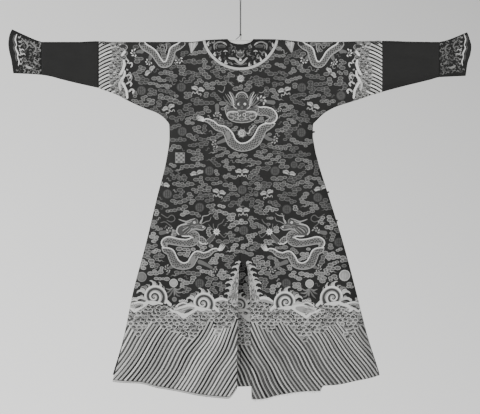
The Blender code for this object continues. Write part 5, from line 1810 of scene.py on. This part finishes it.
def hanger():
    """The cord with its binding knot, the wadded pad on the rod, and the rod."""
    points = smooth_line(cord_points(), 0.002)
    cord = line_object("hung_cord", [tuple(p) for p in points], CORD_RADIUS + 0.0001, LOOKS["cord"])
    placed(cord, "hanging_cord", "hanging_cord")
    turns = []
    for k in range(0, 4 * 18 + 1):
        a = 2 * math.pi * k / 18
        rise = (k / 72 - 0.5) * 0.0030
        reach = KNOT_RADIUS - 0.0004 + 0.0003 * math.sin(3 * a)
        turns.append((reach * math.cos(a), reach * math.sin(a), -HANG_HEIGHT - KNOT_DROP + rise))
    knot = line_object("binding_knot", turns, 0.0009, LOOKS["cord"])
    placed(knot, "hanging_cord", "knot")
    # the pad, lumpy where it is wound
    stations, round_count = 60, 40
    x = np.linspace(*PAD_ENDS, stations)[:, None] * np.ones(round_count)
    a = np.linspace(0, 2 * math.pi, round_count, endpoint=False)[None, :] * np.ones((stations, 1))
    out = FOLD_RADIUS + curve(RISE, 1, x) - WALL / 2 - FOLD_GAP - SEAM
    out = out - 0.0005 * (1 + np.sin(90 * x + 2 * a)) - 0.0003 * (1 + np.sin(211 * x - 3 * a))
    out = np.maximum(out, ROD_RADIUS + SEAM + 0.0012)
    inner = np.full_like(x[:1], ROD_RADIUS + SEAM)
    ring = [(x[:1], inner, a[:1])] + [(x[k:k + 1], out[k:k + 1], a[:1]) for k in range(stations)]
    ring += [(x[-1:], inner, a[:1])]
    rows = [np.stack([px, r * np.cos(t), -HANG_HEIGHT - ROD_DROP + r * np.sin(t)], -1)
            for px, r, t in ring]
    rows = np.concatenate(rows)
    faces = grid_faces(len(rows), round_count, True)
    last = (len(rows) - 1) * round_count
    n = (np.arange(round_count) + 1) % round_count
    bore = np.stack([last + np.arange(round_count), last + n, n, np.arange(round_count)], -1)
    pad = add_mesh("wadded_pad", rows.reshape(-1, 3), [np.concatenate([faces, bore])], [LOOKS["pad"]])
    placed(pad, "cotton_pad", "rod_pad")
    assign("rod", LOOKS["rod"])


def assign(node, look):
    for slot in bpy.data.objects[node].material_slots:
        slot.link = "OBJECT"
        slot.material = look
    if not bpy.data.objects[node].material_slots:
        bpy.data.objects[node].data.materials.append(look)


def lamp(name, place, aim, size, power):
    data = bpy.data.lights.new(name, "AREA")
    data.shape = "RECTANGLE"
    data.size, data.size_y = size
    data.energy = power
    thing = bpy.data.objects.new(name, data)
    bpy.context.scene.collection.objects.link(thing)
    thing.location = place
    way = np.array(aim, float) - np.array(place, float)
    thing.rotation_euler = (math.acos(-way[2] / np.linalg.norm(way)), 0,
                            math.atan2(way[1], way[0]) - math.pi / 2)


def studio():
    world = bpy.data.worlds.new("studio")
    bpy.context.scene.world = world
    world.use_nodes = True
    nodes, links = world.node_tree.nodes, world.node_tree.links
    sky = nodes["Background"]
    split = nodes.new("ShaderNodeSeparateXYZ")
    links.new(nodes.new("ShaderNodeTexCoord").outputs["Generated"], split.inputs[0])
    lean = maths(nodes, links, "MULTIPLY_ADD", split.outputs["Z"], -1.5, 1.02)
    lean = maths(nodes, links, "MULTIPLY_ADD", split.outputs["X"], -1.1, lean)
    level = maths(nodes, links, "MAXIMUM", lean, 0.45)
    tone = nodes.new("ShaderNodeCombineColor")
    for socket, part in zip(tone.inputs, (0.60, 0.60, 0.592)):
        links.new(maths(nodes, links, "MULTIPLY", level, part), socket)
    links.new(tone.outputs[0], sky.inputs["Color"])
    sky.inputs["Strength"].default_value = 1.82
    lamp("key", (-3.2, -4.5, 1.6), (0, 0, -0.9), (3.0, 3.0), 160)
    lamp("fill", (3.4, -4.2, 0.2), (0, 0, -0.9), (3.0, 3.0), 90)
    lamp("rear", (0.5, 4.5, 1.0), (0, 0, -0.9), (3.5, 3.0), 170)
    bpy.ops.mesh.primitive_plane_add(size=6.4, location=(0, 0, -2.95))
    floor = bpy.context.object
    floor.name = "floor"
    floor.data.materials.append(grained("floor_paint", (0.66, 0.66, 0.65), 0.8, 3.0, 0.02))


def robe():
    ground = LOOKS["ground"]
    left = width_of_cloth("silk_left", -1, "front", FRONT_VENT, BACK_HEM_LEFT, FRONT_HEM, ground)
    placed(left, "patterned_silk", "left_width")
    right = width_of_cloth("silk_right", 1, "under", NO_VENT, BACK_HEM_RIGHT, UNDERLAP_HEM_LINE, ground)
    placed(right, "patterned_silk", "right_width")
    over = shell("silk_overlap", overlap_grid(70, 0.0072), ground, sign=-1)
    placed(over, "patterned_silk", "overlap")
    flap = shell("silk_flap", flap_grid(22, 0.0075), ground, sign=-1)
    placed(flap, "patterned_silk", "inner_flap")
    for label, side in (("left", -1), ("right", 1)):
        tube = shell("plain_sleeve_" + label, tube_grid(side, "sleeve", 42, 30), LOOKS["plain"],
                     sign=side, wrap=True)
        placed(tube, "plain_dark_silk", "sleeve_" + label)
        hoof = shell("hoof_cuff_" + label, tube_grid(side, "cuff", 26, 30), LOOKS["band"],
                     sign=side, wrap=True)
        placed(hoof, "facing_silk", "cuff_" + label)


# --- where the motifs go ----------------------------------------------------------------------
ROUNDELS = (
    (-59.5, 45.5), (61.5, 46.0), (-58.5, 90.0), (61.0, 91.0), (-31.2, 129.7), (34.7, 129.7),
    (-73.3, 152.8), (1.7, 148.6), (77.5, 156.3), (-41.0, 166.3), (46.5, 168.2), (3.2, 189.3),
    (98.5, 201.3), (-41.0, 242.3), (45.9, 242.3), (-99.5, 49.0), (100.9, 54.0),
)
BATS = (
    # x, y, turn, flip, ribbon below
    (-42.7, 47.4, 0.25, False, True), (44.0, 48.4, -0.25, False, True), (-72.5, 66.0, -0.4, False, True),
    (73.0, 64.0, 0.4, False, True), (-43.9, 131.8, -0.25, False, False), (48.8, 131.8, 0.25, False, False),
    (1.5, 130.0, 0.0, False, True), (-21.5, 150.7, 0.25, False, True), (26.3, 151.4, -0.25, False, True),
    (2.5, 169.0, 0.0, False, True), (-77.5, 143.0, 0.3, False, False), (80.3, 147.0, -0.3, False, False),
    (-91.0, 29.0, -0.8, False, False), (91.0, 31.0, 0.8, False, False),
)
SHOULDER = ((-100.6, -1.0, 6.0), (-97.0, 4.6, 6.6), (-91.4, 8.2, 6.8), (-86.8, 11.8, 6.4), (-83.4, 17.0, 6.0),
            (-78.6, 22.6, 6.0), (-72.6, 21.4, 6.4), (-69.8, 15.0, 6.6), (-67.6, 8.0, 6.4), (-61.0, 4.0, 6.0),
            (-56.0, -1.0, 5.4))


def shoulder_dragon(art, flip, shift):
    art.at(shift, 0, 1.0, 0.0, flip)
    body = np.array(SHOULDER)
    paw(art, -106.4, 11.0, 2.7, 0.8, 2, "white", leg=[(-97, 10), (-101, 9.6), (-105, 10.6)])
    paw(art, -92.0, 20.0, 1.9, 0.7, 2, "pale", leg=[(-89.0, 12), (-90.6, 16), (-91.6, 19)])
    paw(art, -62.0, 18.0, 0.9, 0.8, 2, "pale", leg=[(-69, 12), (-66, 15), (-63, 17.4)])
    scaled(art, body[:, :2], body[:, 2], 2, -1)
    art.strokes((("soft", 0.8, ((-84, 4), (-81, 6.4), (-79, 3.0), (-76.4, 5.6), (-77.6, 10.0))),
                 ("light", 0.7, ((-74.6, 1.4), (-74.2, 6.4), (-76.0, 11.0)))), 3)
    for k, dx in enumerate((-1.6, 0.4, 2.4, 4.4, 6.4)):
        feather = [(-49.6, 11.8), (-49.4 + 0.4 * dx, 6.4), (-49.6 + dx, 0.6)]
        art.band(feather, (0.6, 1.7, 2.3), ("light", "pale")[k % 2], 2, "round", 0.9)
        art.keep(-49.6 + dx, 3.0, 1.6)
    art.keep(-48.6, 7.0, 2.6)
    art.back()


WAVE_EDGE = (
    ("white", (1.6, 2.6, 2.0), ((-115.8, 8.4), (-117.4, 11.4), (-119.8, 14.4))),
    ("white", (2.0, 2.6, 2.6, 2.0), ((-117.4, 17.6), (-116.8, 22.8), (-118.4, 28.4), (-121.4, 33.6))),
    ("white", (1.8, 2.4, 2.4, 2.4, 2.0),
     ((-116.2, 28.4), (-116.8, 34.0), (-119.6, 38.8), (-117.6, 43.0), (-114.6, 49.0), (-113.6, 57.0))),
    ("pale", (2.6, 2.2, 1.4), ((-118.0, 38.0), (-121.6, 42.0), (-120.4, 49.0))),
    ("pale", 1.2, ((-115.2, 16.4), (-112.4, 19.8), (-114.4, 21.6))),
    ("pale", 1.3, ((-112.4, 22.0), (-109.6, 21.0), (-108.8, 23.4), (-110.4, 25.6))),
    ("light", 1.6, ((-115.0, 27.4), (-112.6, 28.4))),
    ("pale", 1.4, ((-115.6, 34.6), (-112.0, 32.8), (-110.2, 34.6), (-111.6, 37.2))),
    ("pale", 1.6, ((-114.8, 42.4), (-111.4, 40.4), (-109.4, 42.2), (-110.8, 44.8))),
    ("pale", 1.8, ((-112.6, 50.4), (-109.4, 47.8), (-107.2, 49.2), (-108.4, 52.0))),
    ("light", 0.8, ((-113.4, 35.5), (-111.2, 30.6), (-109.0, 35.5), (-111.2, 40.2), (-113.4, 35.5))),
)


def sleeve_end(art, side):
    """The band of water at the sleeve seam: short stripes, mosaic and a white crest."""
    chance = random.Random(31)
    art.at(0, 0, 1.0, 0.0, side > 0)
    y = -6.0
    while y < 66:
        art.band([(-143.4, y + 3.8), (-138.6, y + 0.8), (-133.0, y - 1.9), (-125.0, y - 4.8)], 1.8,
                 chance.choice(("pale", "pale", "white")), 0, "cut", 1.4)
        y += 3.75
    x, odd = -128.6, 0
    while x < -116.5:
        y = -2.0 + (odd % 2) * 2.5
        while y < 60:
            px, py = x + chance.uniform(-0.7, 0.7) + 2.0 * math.sin(y / 7.0), y + chance.uniform(-0.6, 0.6)
            lift = 0.2 * (odd % 3)
            art.disc(px, py, 2.7, chance.choice(("light", "light", "soft")), 1 + lift, 9)
            art.disc(px, py, 2.0, chance.choice(("dim", "dim", "dark")), 1.6 + lift, 8)
            curl = [(px - 1.1, py + 0.8), (px - 0.8, py - 0.8), (px + 0.7, py - 0.7), (px + 0.6, py + 0.5)]
            tone = chance.choice(("light", "soft", "pale"))
            art.band(curl, (0.5, 0.9, 0.9, 0.5), tone, 2.2 + lift, "round", 0.9)
            y += 5.4
        x += 3.6
        odd += 1
    art.disc(-118.0, 4.4, 3.2, "deep", 5, 12, 0.55)
    art.strokes(WAVE_EDGE, 5.5)
    for y in range(0, 60, 5):
        art.keep(-117, y, 4.5)
        art.keep(-110.5, y, 2.6)
    art.back()


# The two sides of each column of foam beside the back vent: y, x
VENT_SIDES = (
    ((224, -0.4), (240, -0.8), (270, -1.6)),
    ((224, -1.4), (230.4, -3.2), (235.4, -6.4), (245.4, -9.6), (255.4, -12.6), (262, -14.6), (270, -16.0)),
    ((224, 6.6), (246, 8.8), (270, 9.6)),
    ((224, 7.6), (230, 9.8), (236, 12.6), (246, 15.4), (252, 16.8), (256, 18.9), (262, 21.0), (270, 22.0)),
)


def brocade(art, x, y):
    art.at(x, y)
    art.patch(-4.8, -5.3, 4.8, 5.3, "soft", 1)
    for i in range(4):
        for j in range(5):
            art.disc(-3.4 + 2.3 * i, -4.2 + 2.1 * j, 0.8, "dull" if (i + j) % 2 else "light", 2, 6)
    art.keep(0, 0, 6.6)
    art.back()


def cloth_room(px, py):
    """Whether a place in steps is on the robe's body, above the water."""
    x, v = abs(px) * STEP, py * STEP
    if v < 0.2:
        low = curve(((0.33, 0.335), (0.36, 0.309), (0.426, 0.283), (0.50, 0.249), (0.53, 0.231),
                     (0.57, 0.216), (0.616, 0.200)), 1, x)
        return x < 0.49 and v < low - 0.006
    return x < half_width(-1 if px < 0 else 1, v) - 0.006


def collar_room(face, px, py):
    """Whether a place in steps is outside the collar's facing."""
    x, v = px * STEP, py * STEP
    if face == "back":
        return math.hypot(x, v - BACK_COLLAR_CENTRE) > BACK_COLLAR_RADIUS
    return math.hypot(x / FRONT_COLLAR_HALF, (v - FOLD_TOP_0) / FRONT_COLLAR_DEPTH) > 1


def pattern(face):
    """The whole of one side's pattern: the big motifs, the water and the sky."""
    motifs, tidal, clouds = Art(), Art(), Art()
    motifs.taken = tidal.taken = clouds.taken
    frontal_dragon(motifs)
    side_dragon(motifs, 0, 201.2, False)
    side_dragon(motifs, 5, 201.2, True)
    shoulder_dragon(motifs, False, 0)
    shoulder_dragon(motifs, True, 2)
    sleeve_end(tidal, -1)
    sleeve_end(tidal, 1)
    pearl(motifs, 0.1, 37.0, 3.6)
    for x, y in ROUNDELS:
        roundel(motifs, x, y)
    for row in BATS:
        bat(motifs, *row)
    flower(motifs, -67.1, 242.0)
    light_disc(motifs, 104.4, 234.5, 5.6)
    flower(motifs, 69.2, 242.7, True)
    light_disc(motifs, -99.0, 236.0, 5.0, "mid", "soft")
    roundel(motifs, 53.7, 123.4, 3.6)
    left_rock, right_rock = VENT_SIDES[:2], VENT_SIDES[2:]
    if face == "back":
        brocade(motifs, -60.7, 116.4)
    else:
        right_rock = [tuple((y, -x) for y, x in side) for side in left_rock]
    rock(tidal, *left_rock, 222.0, 263.0)
    rock(tidal, *right_rock, 222.0, 263.0)
    tide(tidal)
    for x in range(-124, 130, 6):
        tidal.keep(x, 267, 5.0)
    sky(clouds, lambda px, py: py < 258 and cloth_room(px, py) and collar_room(face, px, py),
        11 if face == "back" else 23, (-112, 114, 2.5, 262))
    return motifs, tidal, clouds


def holder(hem_left, hem_right, vent):
    """A function that keeps flat places off the seams, the vent and the hem."""

    def hold(x, v):
        x, v = x.copy(), v.copy()
        v = np.maximum(v, TOP + 0.0004)
        for side, hem in ((-1, hem_left), (1, hem_right)):
            mine = on_side(side, x)
            px = np.abs(x[mine])
            bottom = curve(hem, 1, px)
            pv = np.minimum(v[mine], bottom - 0.0012)
            level = pv
            for _ in range(3):
                level = pv - (bottom - HEM_LEVEL) * smoothstep(HEM_EASE, HEM_LEVEL, level)
            edge = half_width(side, level) - 0.0012
            gap = curve(vent, number_of(side), level)
            px = np.where(level > VENT_HOLD, np.maximum(px, gap + 0.0010), px)
            px = np.minimum(px, edge)
            x[mine], v[mine] = side * px, pv
        return x, v

    return hold


def show(arts, label, layer, sign, hold, keep_if=None):
    """Lay one side's motifs, water and clouds on a layer of the robe."""
    for art, kind in zip(arts, ("motifs", "water", "clouds")):
        name = "woven_" + kind + "_" + label
        placed(art.piece(name, SURFACES[layer], sign, hold, keep_if=keep_if, rounded=0.0012),
               "patterned_silk")


def overlap_top(x):
    return np.interp(x, *along(OVERLAP_EDGE, np.linspace(0, 1, 60)))


def back_pattern():
    hold = holder(BACK_HEM_LEFT, BACK_HEM_RIGHT, BACK_VENT)
    motifs, tidal, clouds = pattern("back")
    stripes(tidal, -1, 2.6, 131, 361, 3)
    stripes(tidal, 1, 6.5, 141, 361, 4)
    rows = np.linspace(4.0, 131.5, 60)
    low = curve(BACK_HEM_LEFT, 1, rows * STEP) / STEP
    tidal.band(np.stack([-rows, low - 0.9], -1), 1.5, "pale", 3, "cut", 2.0)
    tidal.band(np.stack([-rows, low - 2.0], -1), 0.6, "dull", 3, "cut", 2.0)
    show((motifs, tidal, clouds), "back", "back", -1, hold)


def front_pattern():
    hold = holder(FRONT_HEM, FRONT_HEM, FRONT_VENT)
    motifs, tidal, clouds = pattern("front")
    stripes(tidal, -1, 2.6, 131, 346, 5)
    stripes(tidal, 1, 2.6, 141, 346, 6)

    def outer(x, v):
        return (x < 0) | (v > overlap_top(x) + 0.002)

    def under(x, v):
        return (x > 0.001) & (v < overlap_top(x) + 0.004)

    show((motifs, tidal, clouds), "front", "front", 1, hold, outer)
    show((motifs, tidal, clouds), "underlap", "under", 1, hold, under)


def vent_pattern():
    """What shows of the underlap and its flap through the spread back vent, its water one tone paler as
    painted light against the shade in the vent.
    """
    art = Art()
    crest(art, -0.8, 265.4, 9.3, True)
    crest(art, -30.0, 262.0, 10.5, False)
    art.strokes((("white", (1.6, 3.2, 3.4, 2.4), ((0.6, 273.6), (4.0, 276.4), (7.6, 279.0), (12.0, 281.6))),
                 ("white", (2.0, 2.8, 1.6), ((5.0, 277.0), (9.0, 275.2), (13.0, 272.0)))), 6)
    trough(art, -17.0, 277.0, 0.9)
    water(art, lambda x: 266, -34, 30, 9, ((-34, 306), (30, 306)))
    stripes(art, -1, 9.0, 31, 350, 8, lambda x: 305.0)
    stripes(art, 1, -3.0, 24, 350, 9, lambda x: 305.0)
    art.band([(0.0, 222.0), (0.0, 300.0), (0.0, 350.0)], 1.2, "dark", -1.2, "cut", 4.0)
    # one tone paler all over: painted light that lifts the shade inside the vent
    art.tones = [np.maximum(np.asarray(tone) - 1, 0) for tone in art.tones]
    clouds = Art()
    sky(clouds, lambda px, py: True, 5, (-30, 24, 222, 248), darts=300)

    def hold(x, v):
        return np.clip(x, -FLAP_REACH + 0.001, 0.11), np.clip(v, 0.95, UNDERLAP_HEM - 0.002)

    for drawn, name in ((art, "woven_water_inside_painted_light"), (clouds, "woven_clouds_inside")):
        placed(drawn.piece(name, SURFACES["under"], -1, hold, vent=False), "patterned_silk")


CUFF_LINES = (
    ("white", (0.7, 1.3, 0.8, 1.3, 1.5, 0.9, 1.3, 0.7),
     ((-224.8, -8), (-226.3, -2.4), (-224.9, 3), (-225.9, 6.2), (-223.5, 11.6), (-224, 15), (-222.5, 19.6),
      (-223.2, 24))),
    ("dull", 1.4, ((-226.9, -7), (-228.3, -2.4), (-226.9, 3), (-227.9, 6.2), (-225.5, 11.6), (-226, 15),
                   (-224.5, 19.6))),
    ("pale", (0.6, 1.2, 1.0, 0.5), ((-222.4, 6.0), (-220.6, 8.0), (-218.6, 7.4), (-217.0, 9.0))),
    ("pale", (0.6, 1.2, 1.0, 0.5), ((-221.6, 10.0), (-219.8, 12.4), (-217.6, 11.8), (-216.0, 13.2))),
    ("light", (1.6, 2.4, 1.6), ((-216.0, 23.4), (-213.0, 25.6), (-209.6, 26.0))),
    ("soft", (1.0, 2.0, 1.0), ((-207.6, 18.4), (-206.0, 21.2), (-203.6, 22.6))),
    ("soft", (0.8, 1.6, 1.4, 0.6), ((-219.0, -2.0), (-215.6, 0.4), (-213.8, 4.6), (-216.2, 8.0))),
    ("soft", (0.8, 1.6, 1.4, 0.6), ((-210.0, 2.0), (-206.4, 4.4), (-205.6, 8.6), (-208.6, 11.4))),
)


def cuff_pattern(side, face, seed):
    """A wavy line of foam near the mouth, and clouds and scrolls over the rest."""
    art = Art()
    art.at(0, 0, 1.0, 0.0, side > 0)
    art.strokes(CUFF_LINES, 3)
    for k in range(7):
        hook(art, -223.2 + 0.4 * (k % 2) + 0.3 * k, -5.0 + 4.4 * k, 1.5, 0.5, 2.4, "light")
    for k in range(16):
        art.keep(-225.4 + 0.15 * k, -8 + 2.2 * k, 1.6)
    art.back()
    label = "left" if side < 0 else "right"
    if side > 0:
        art.tones = [tone + 1 for tone in art.tones]

    def inside(px, py):
        share = (abs(px) - 200.2) / 28.0
        return 0 < share < 0.93 and -1.5 - 9.5 * share + 3 < py < 33.0 - 2.5 * share

    scribble(art, inside, seed, (-230, -198, -12, 34) if side < 0 else (198, 230, -12, 34), 3600,
             ("dull", "mid", "soft", "dim", "mid") if side < 0 else ("dull", "mid", "dull", "dim", "mid"))

    def hold(x, v):
        return x, v

    thing = art.piece("woven_cuff_%s_%s" % (label, "back" if face < 0 else "front"),
                      cuff_surface(side, face), face, hold, base=0.0013)
    placed(thing, "facing_silk", "cuff_" + label)


BOWL = (
    ("light", (1.4, 2.2, 2.4, 2.4, 2.4, 2.2, 1.4),
     ((-11.8, 16.4), (-8.8, 17.0), (-5.4, 17.6), (-2.4, 20.5), (0.5, 21.7), (3.4, 19.4), (7.0, 15.9))),
    ("mid", 0.9, ((-6.5, 21.7), (-3.0, 22.8), (0.5, 23.5), (3.4, 22.8), (6.4, 21.7))),
    ("white", (1.4, 1.0), ((-12.2, 16.2), (-10.6, 16.6))),
    ("soft", (0.6, 1.0, 0.6), ((-4.8, 8.2), (-3.6, 10.0), (-3.4, 12.6))),
    ("soft", (0.6, 1.0, 0.6), ((-0.1, 7.9), (-0.3, 9.4), (-0.4, 10.6))),
    ("soft", (0.6, 1.0, 0.6), ((4.0, 8.4), (2.8, 10.0), (2.6, 12.6))),
    ("soft", 1.1, ((-4.4, 12.4), (-3.0, 15.0), (-0.4, 15.8), (2.4, 15.0), (3.8, 12.4))),
)
COIL = (
    ("soft", (0.8, 1.3, 1.3, 1.2, 1.0), ((26.4, 4.0), (24.7, 1.8), (20.6, 0.6), (15.9, 1.8), (13.6, 4.1))),
    ("pale", (0.8, 1.3, 0.8), ((17.4, 1.4), (15.4, 2.2), (13.8, 3.8))),
    ("dull", (2.0, 3.4, 2.8), ((14.6, 5.2), (18.6, 4.6), (23.0, 4.8))),
    ("dim", (1.0, 1.6, 1.0), ((16.0, 6.0), (18.6, 5.2), (21.6, 5.6))),
    ("mid", (0.8, 1.2, 0.8), ((22.6, 2.6), (24.6, 5.0), (23.6, 7.6))),
    ("soft", (0.8, 1.6, 0.8), ((26.2, 1.6), (26.4, 4.6), (26.0, 8.4))),
    ("dull", (1.6, 2.6, 1.4), ((29.0, 5.0), (30.4, 7.0), (29.6, 9.0))),
    ("light", (1.0, 1.5, 1.0), ((12.9, 10.0), (15.2, 9.2), (17.4, 10.2))),
    ("soft", (0.7, 0.6), ((15.0, 10.6), (15.3, 13.5))),
    ("mid", (0.8, 1.0, 0.6), ((18.6, 9.0), (21.4, 11.2), (23.8, 9.6))),
    ("mid", (0.8, 1.0, 0.6), ((10.6, 2.4), (8.2, 4.8), (9.6, 7.6))),
)


def collar_pattern():
    """Small dragons, clouds and foam on the collar's facings and the lapel."""
    ticks = ((-32.3, 4.1), (-25.3, 13.5), (-20.6, 18.2), (-14.1, 20.5), (8.7, 24.0), (13.4, 21.1),
             (19.8, 18.8),
             (25.1, 14.7), (32.1, 5.3))
    centre = BACK_COLLAR_CENTRE / STEP
    reach = BACK_COLLAR_RADIUS / STEP
    art = Art()
    for x, y in ticks:
        away = math.hypot(x, y - centre)
        x, y = x * (reach + 0.6) / away, centre + (y - centre) * (reach + 0.6) / away
        lean = -0.05 * x
        art.band([(x, y), (x + 0.4 * lean, y - 2.4), (x + lean, y - 4.6)], (2.6, 1.7, 0.6), "pale", 2.4,
                 "round", 0.9)
        art.band([(x + 1.6, y - 0.2), (x + 1.8, y - 2.4)], (1.6, 0.6), "pale", 2.4, "round", 0.9)
        art.keep(x, y - 2, 1.8)
    art.strokes(COIL, 3, True)
    art.strokes(BOWL, 3)
    art.disc(-0.4, 11.6, 3.0, "dull", 2, 12)
    for side in (-1, 1):
        art.disc(-0.4 + 1.2 * side, 11.0, 0.8, "light", 3.4, 7)
    art.disc(-0.1, 18.3, 1.3, "white", 4, 9)
    for x, y, r in ((19, 4, 6.5), (-19, 4, 6.5), (28, 6, 3.6), (-28, 6, 3.6), (0, 12, 5.6), (0, 20, 5.0),
                    (-8, 17.5, 2.6), (8, 17.0, 2.6),
                    (15, 11, 3.0), (-15, 11, 3.0)):
        art.keep(x, y, r)

    def back_band(x, v):
        neck = np.hypot(x / (NECK_HALF + 0.006), np.maximum(v - FOLD_TOP_0, 0) / (BACK_SCOOP + 0.006))
        return (neck > 1) & (np.hypot(x, v - BACK_COLLAR_CENTRE) < BACK_COLLAR_RADIUS - 0.001)

    def front_band(x, v):
        neck = np.hypot(x / (NECK_HALF + 0.006), np.maximum(v - FOLD_TOP_0, 0) / (FRONT_SCOOP + 0.006))
        edge = np.hypot(x / (FRONT_COLLAR_HALF - 0.001), (v - FOLD_TOP_0) / (FRONT_COLLAR_DEPTH - 0.001))
        return (neck > 1) & (edge < 1)

    def left_band(x, v):
        return front_band(x, v) & (x < -0.002)

    def right_band(x, v):
        return front_band(x, v) & (x > 0.012) & (v < overlap_top(x) - 0.003)

    low = along(LAPEL_EDGE, np.linspace(0, 1, 60))

    def lapel_band(x, v):
        return (x > 0.003) & (x < 0.302) & (v > overlap_top(x) + 0.004) & (v < np.interp(x, *low) - 0.003)

    def fitted(room):
        def inside(px, py):
            x, v = px * STEP, py * STEP
            return all(bool(room(np.array(x + dx), np.array(v + dy)))
                       for dx in (-0.006, 0.006) for dy in (-0.006, 0.006))

        return inside

    def hold(x, v):
        v = np.maximum(v, TOP + 0.0006)
        return x, v_at(x, v)

    def lay(drawn, name, layer, room, nodes):
        thing = drawn.piece(name, SURFACES[layer], -1 if layer == "back" else 1, hold, base=0.0034,
                            keep_if=room)
        placed(thing, "facing_silk", *nodes)

    scribble(art, fitted(back_band), 61, (-36, 36, 0, 26), 2600)
    lay(art, "woven_collar_back", "back", back_band, ["collar_back"])
    for name, layer, room, area, node, seed in (
            ("woven_collar_left", "front", left_band, (-36, 0, 0, 44), "collar_front_left", 62),
            ("woven_collar_right", "under", right_band, (0, 36, 0, 44), "collar_front_right", 63),
            ("woven_lapel", "front", lapel_band, (0, 71, 10, 70), "collar_lapel", 64)):
        part = Art()
        coil = {"woven_collar_left": -3.0, "woven_collar_right": 3.0}.get(name)
        if coil:
            part.at(coil, 4.0, 1.0, 0.0, coil < 0)
            part.strokes(COIL, 3)
            part.keep(20, 4, 6.0)
            part.keep(28, 6, 3.0)
            part.back()
        else:
            for k, (kx, ky) in enumerate(((12, 24), (28, 31), (46, 38), (60, 50))):
                part.at(kx, ky, 0.9, 0.3 + 0.12 * k)
                part.strokes([(tone, width, [(px - 20, py - 4) for px, py in points])
                              for tone, width, points in COIL], 3)
                part.keep(0, 0, 6.5)
                part.back()
        scribble(part, fitted(room), seed, area, 3400)
        lay(part, name, layer, room, [node])


# --- everything in its order ---------------------------------------------------------------
camera()
hanger()
robe()
studio()
collar()
seams()
back_pattern()
front_pattern()
vent_pattern()
collar_pattern()
for cuff_side in (-1, 1):
    for cuff_face in (-1, 1):
        cuff_pattern(cuff_side, cuff_face, 70 + 2 * cuff_side + cuff_face)
threads("frayed_hem_right", "back", BACK_HEM_RIGHT, 1, 0.055, 0.350, 260, LOOKS["edging"], 3)
threads("frayed_hem_left", "back", BACK_HEM_LEFT, -1, 0.020, 0.550, 160, LOOKS["edging"], 4, 0.004)

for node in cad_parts:
    if node.startswith(("button_", "loop_")):
        assign(node, LOOKS["button"])
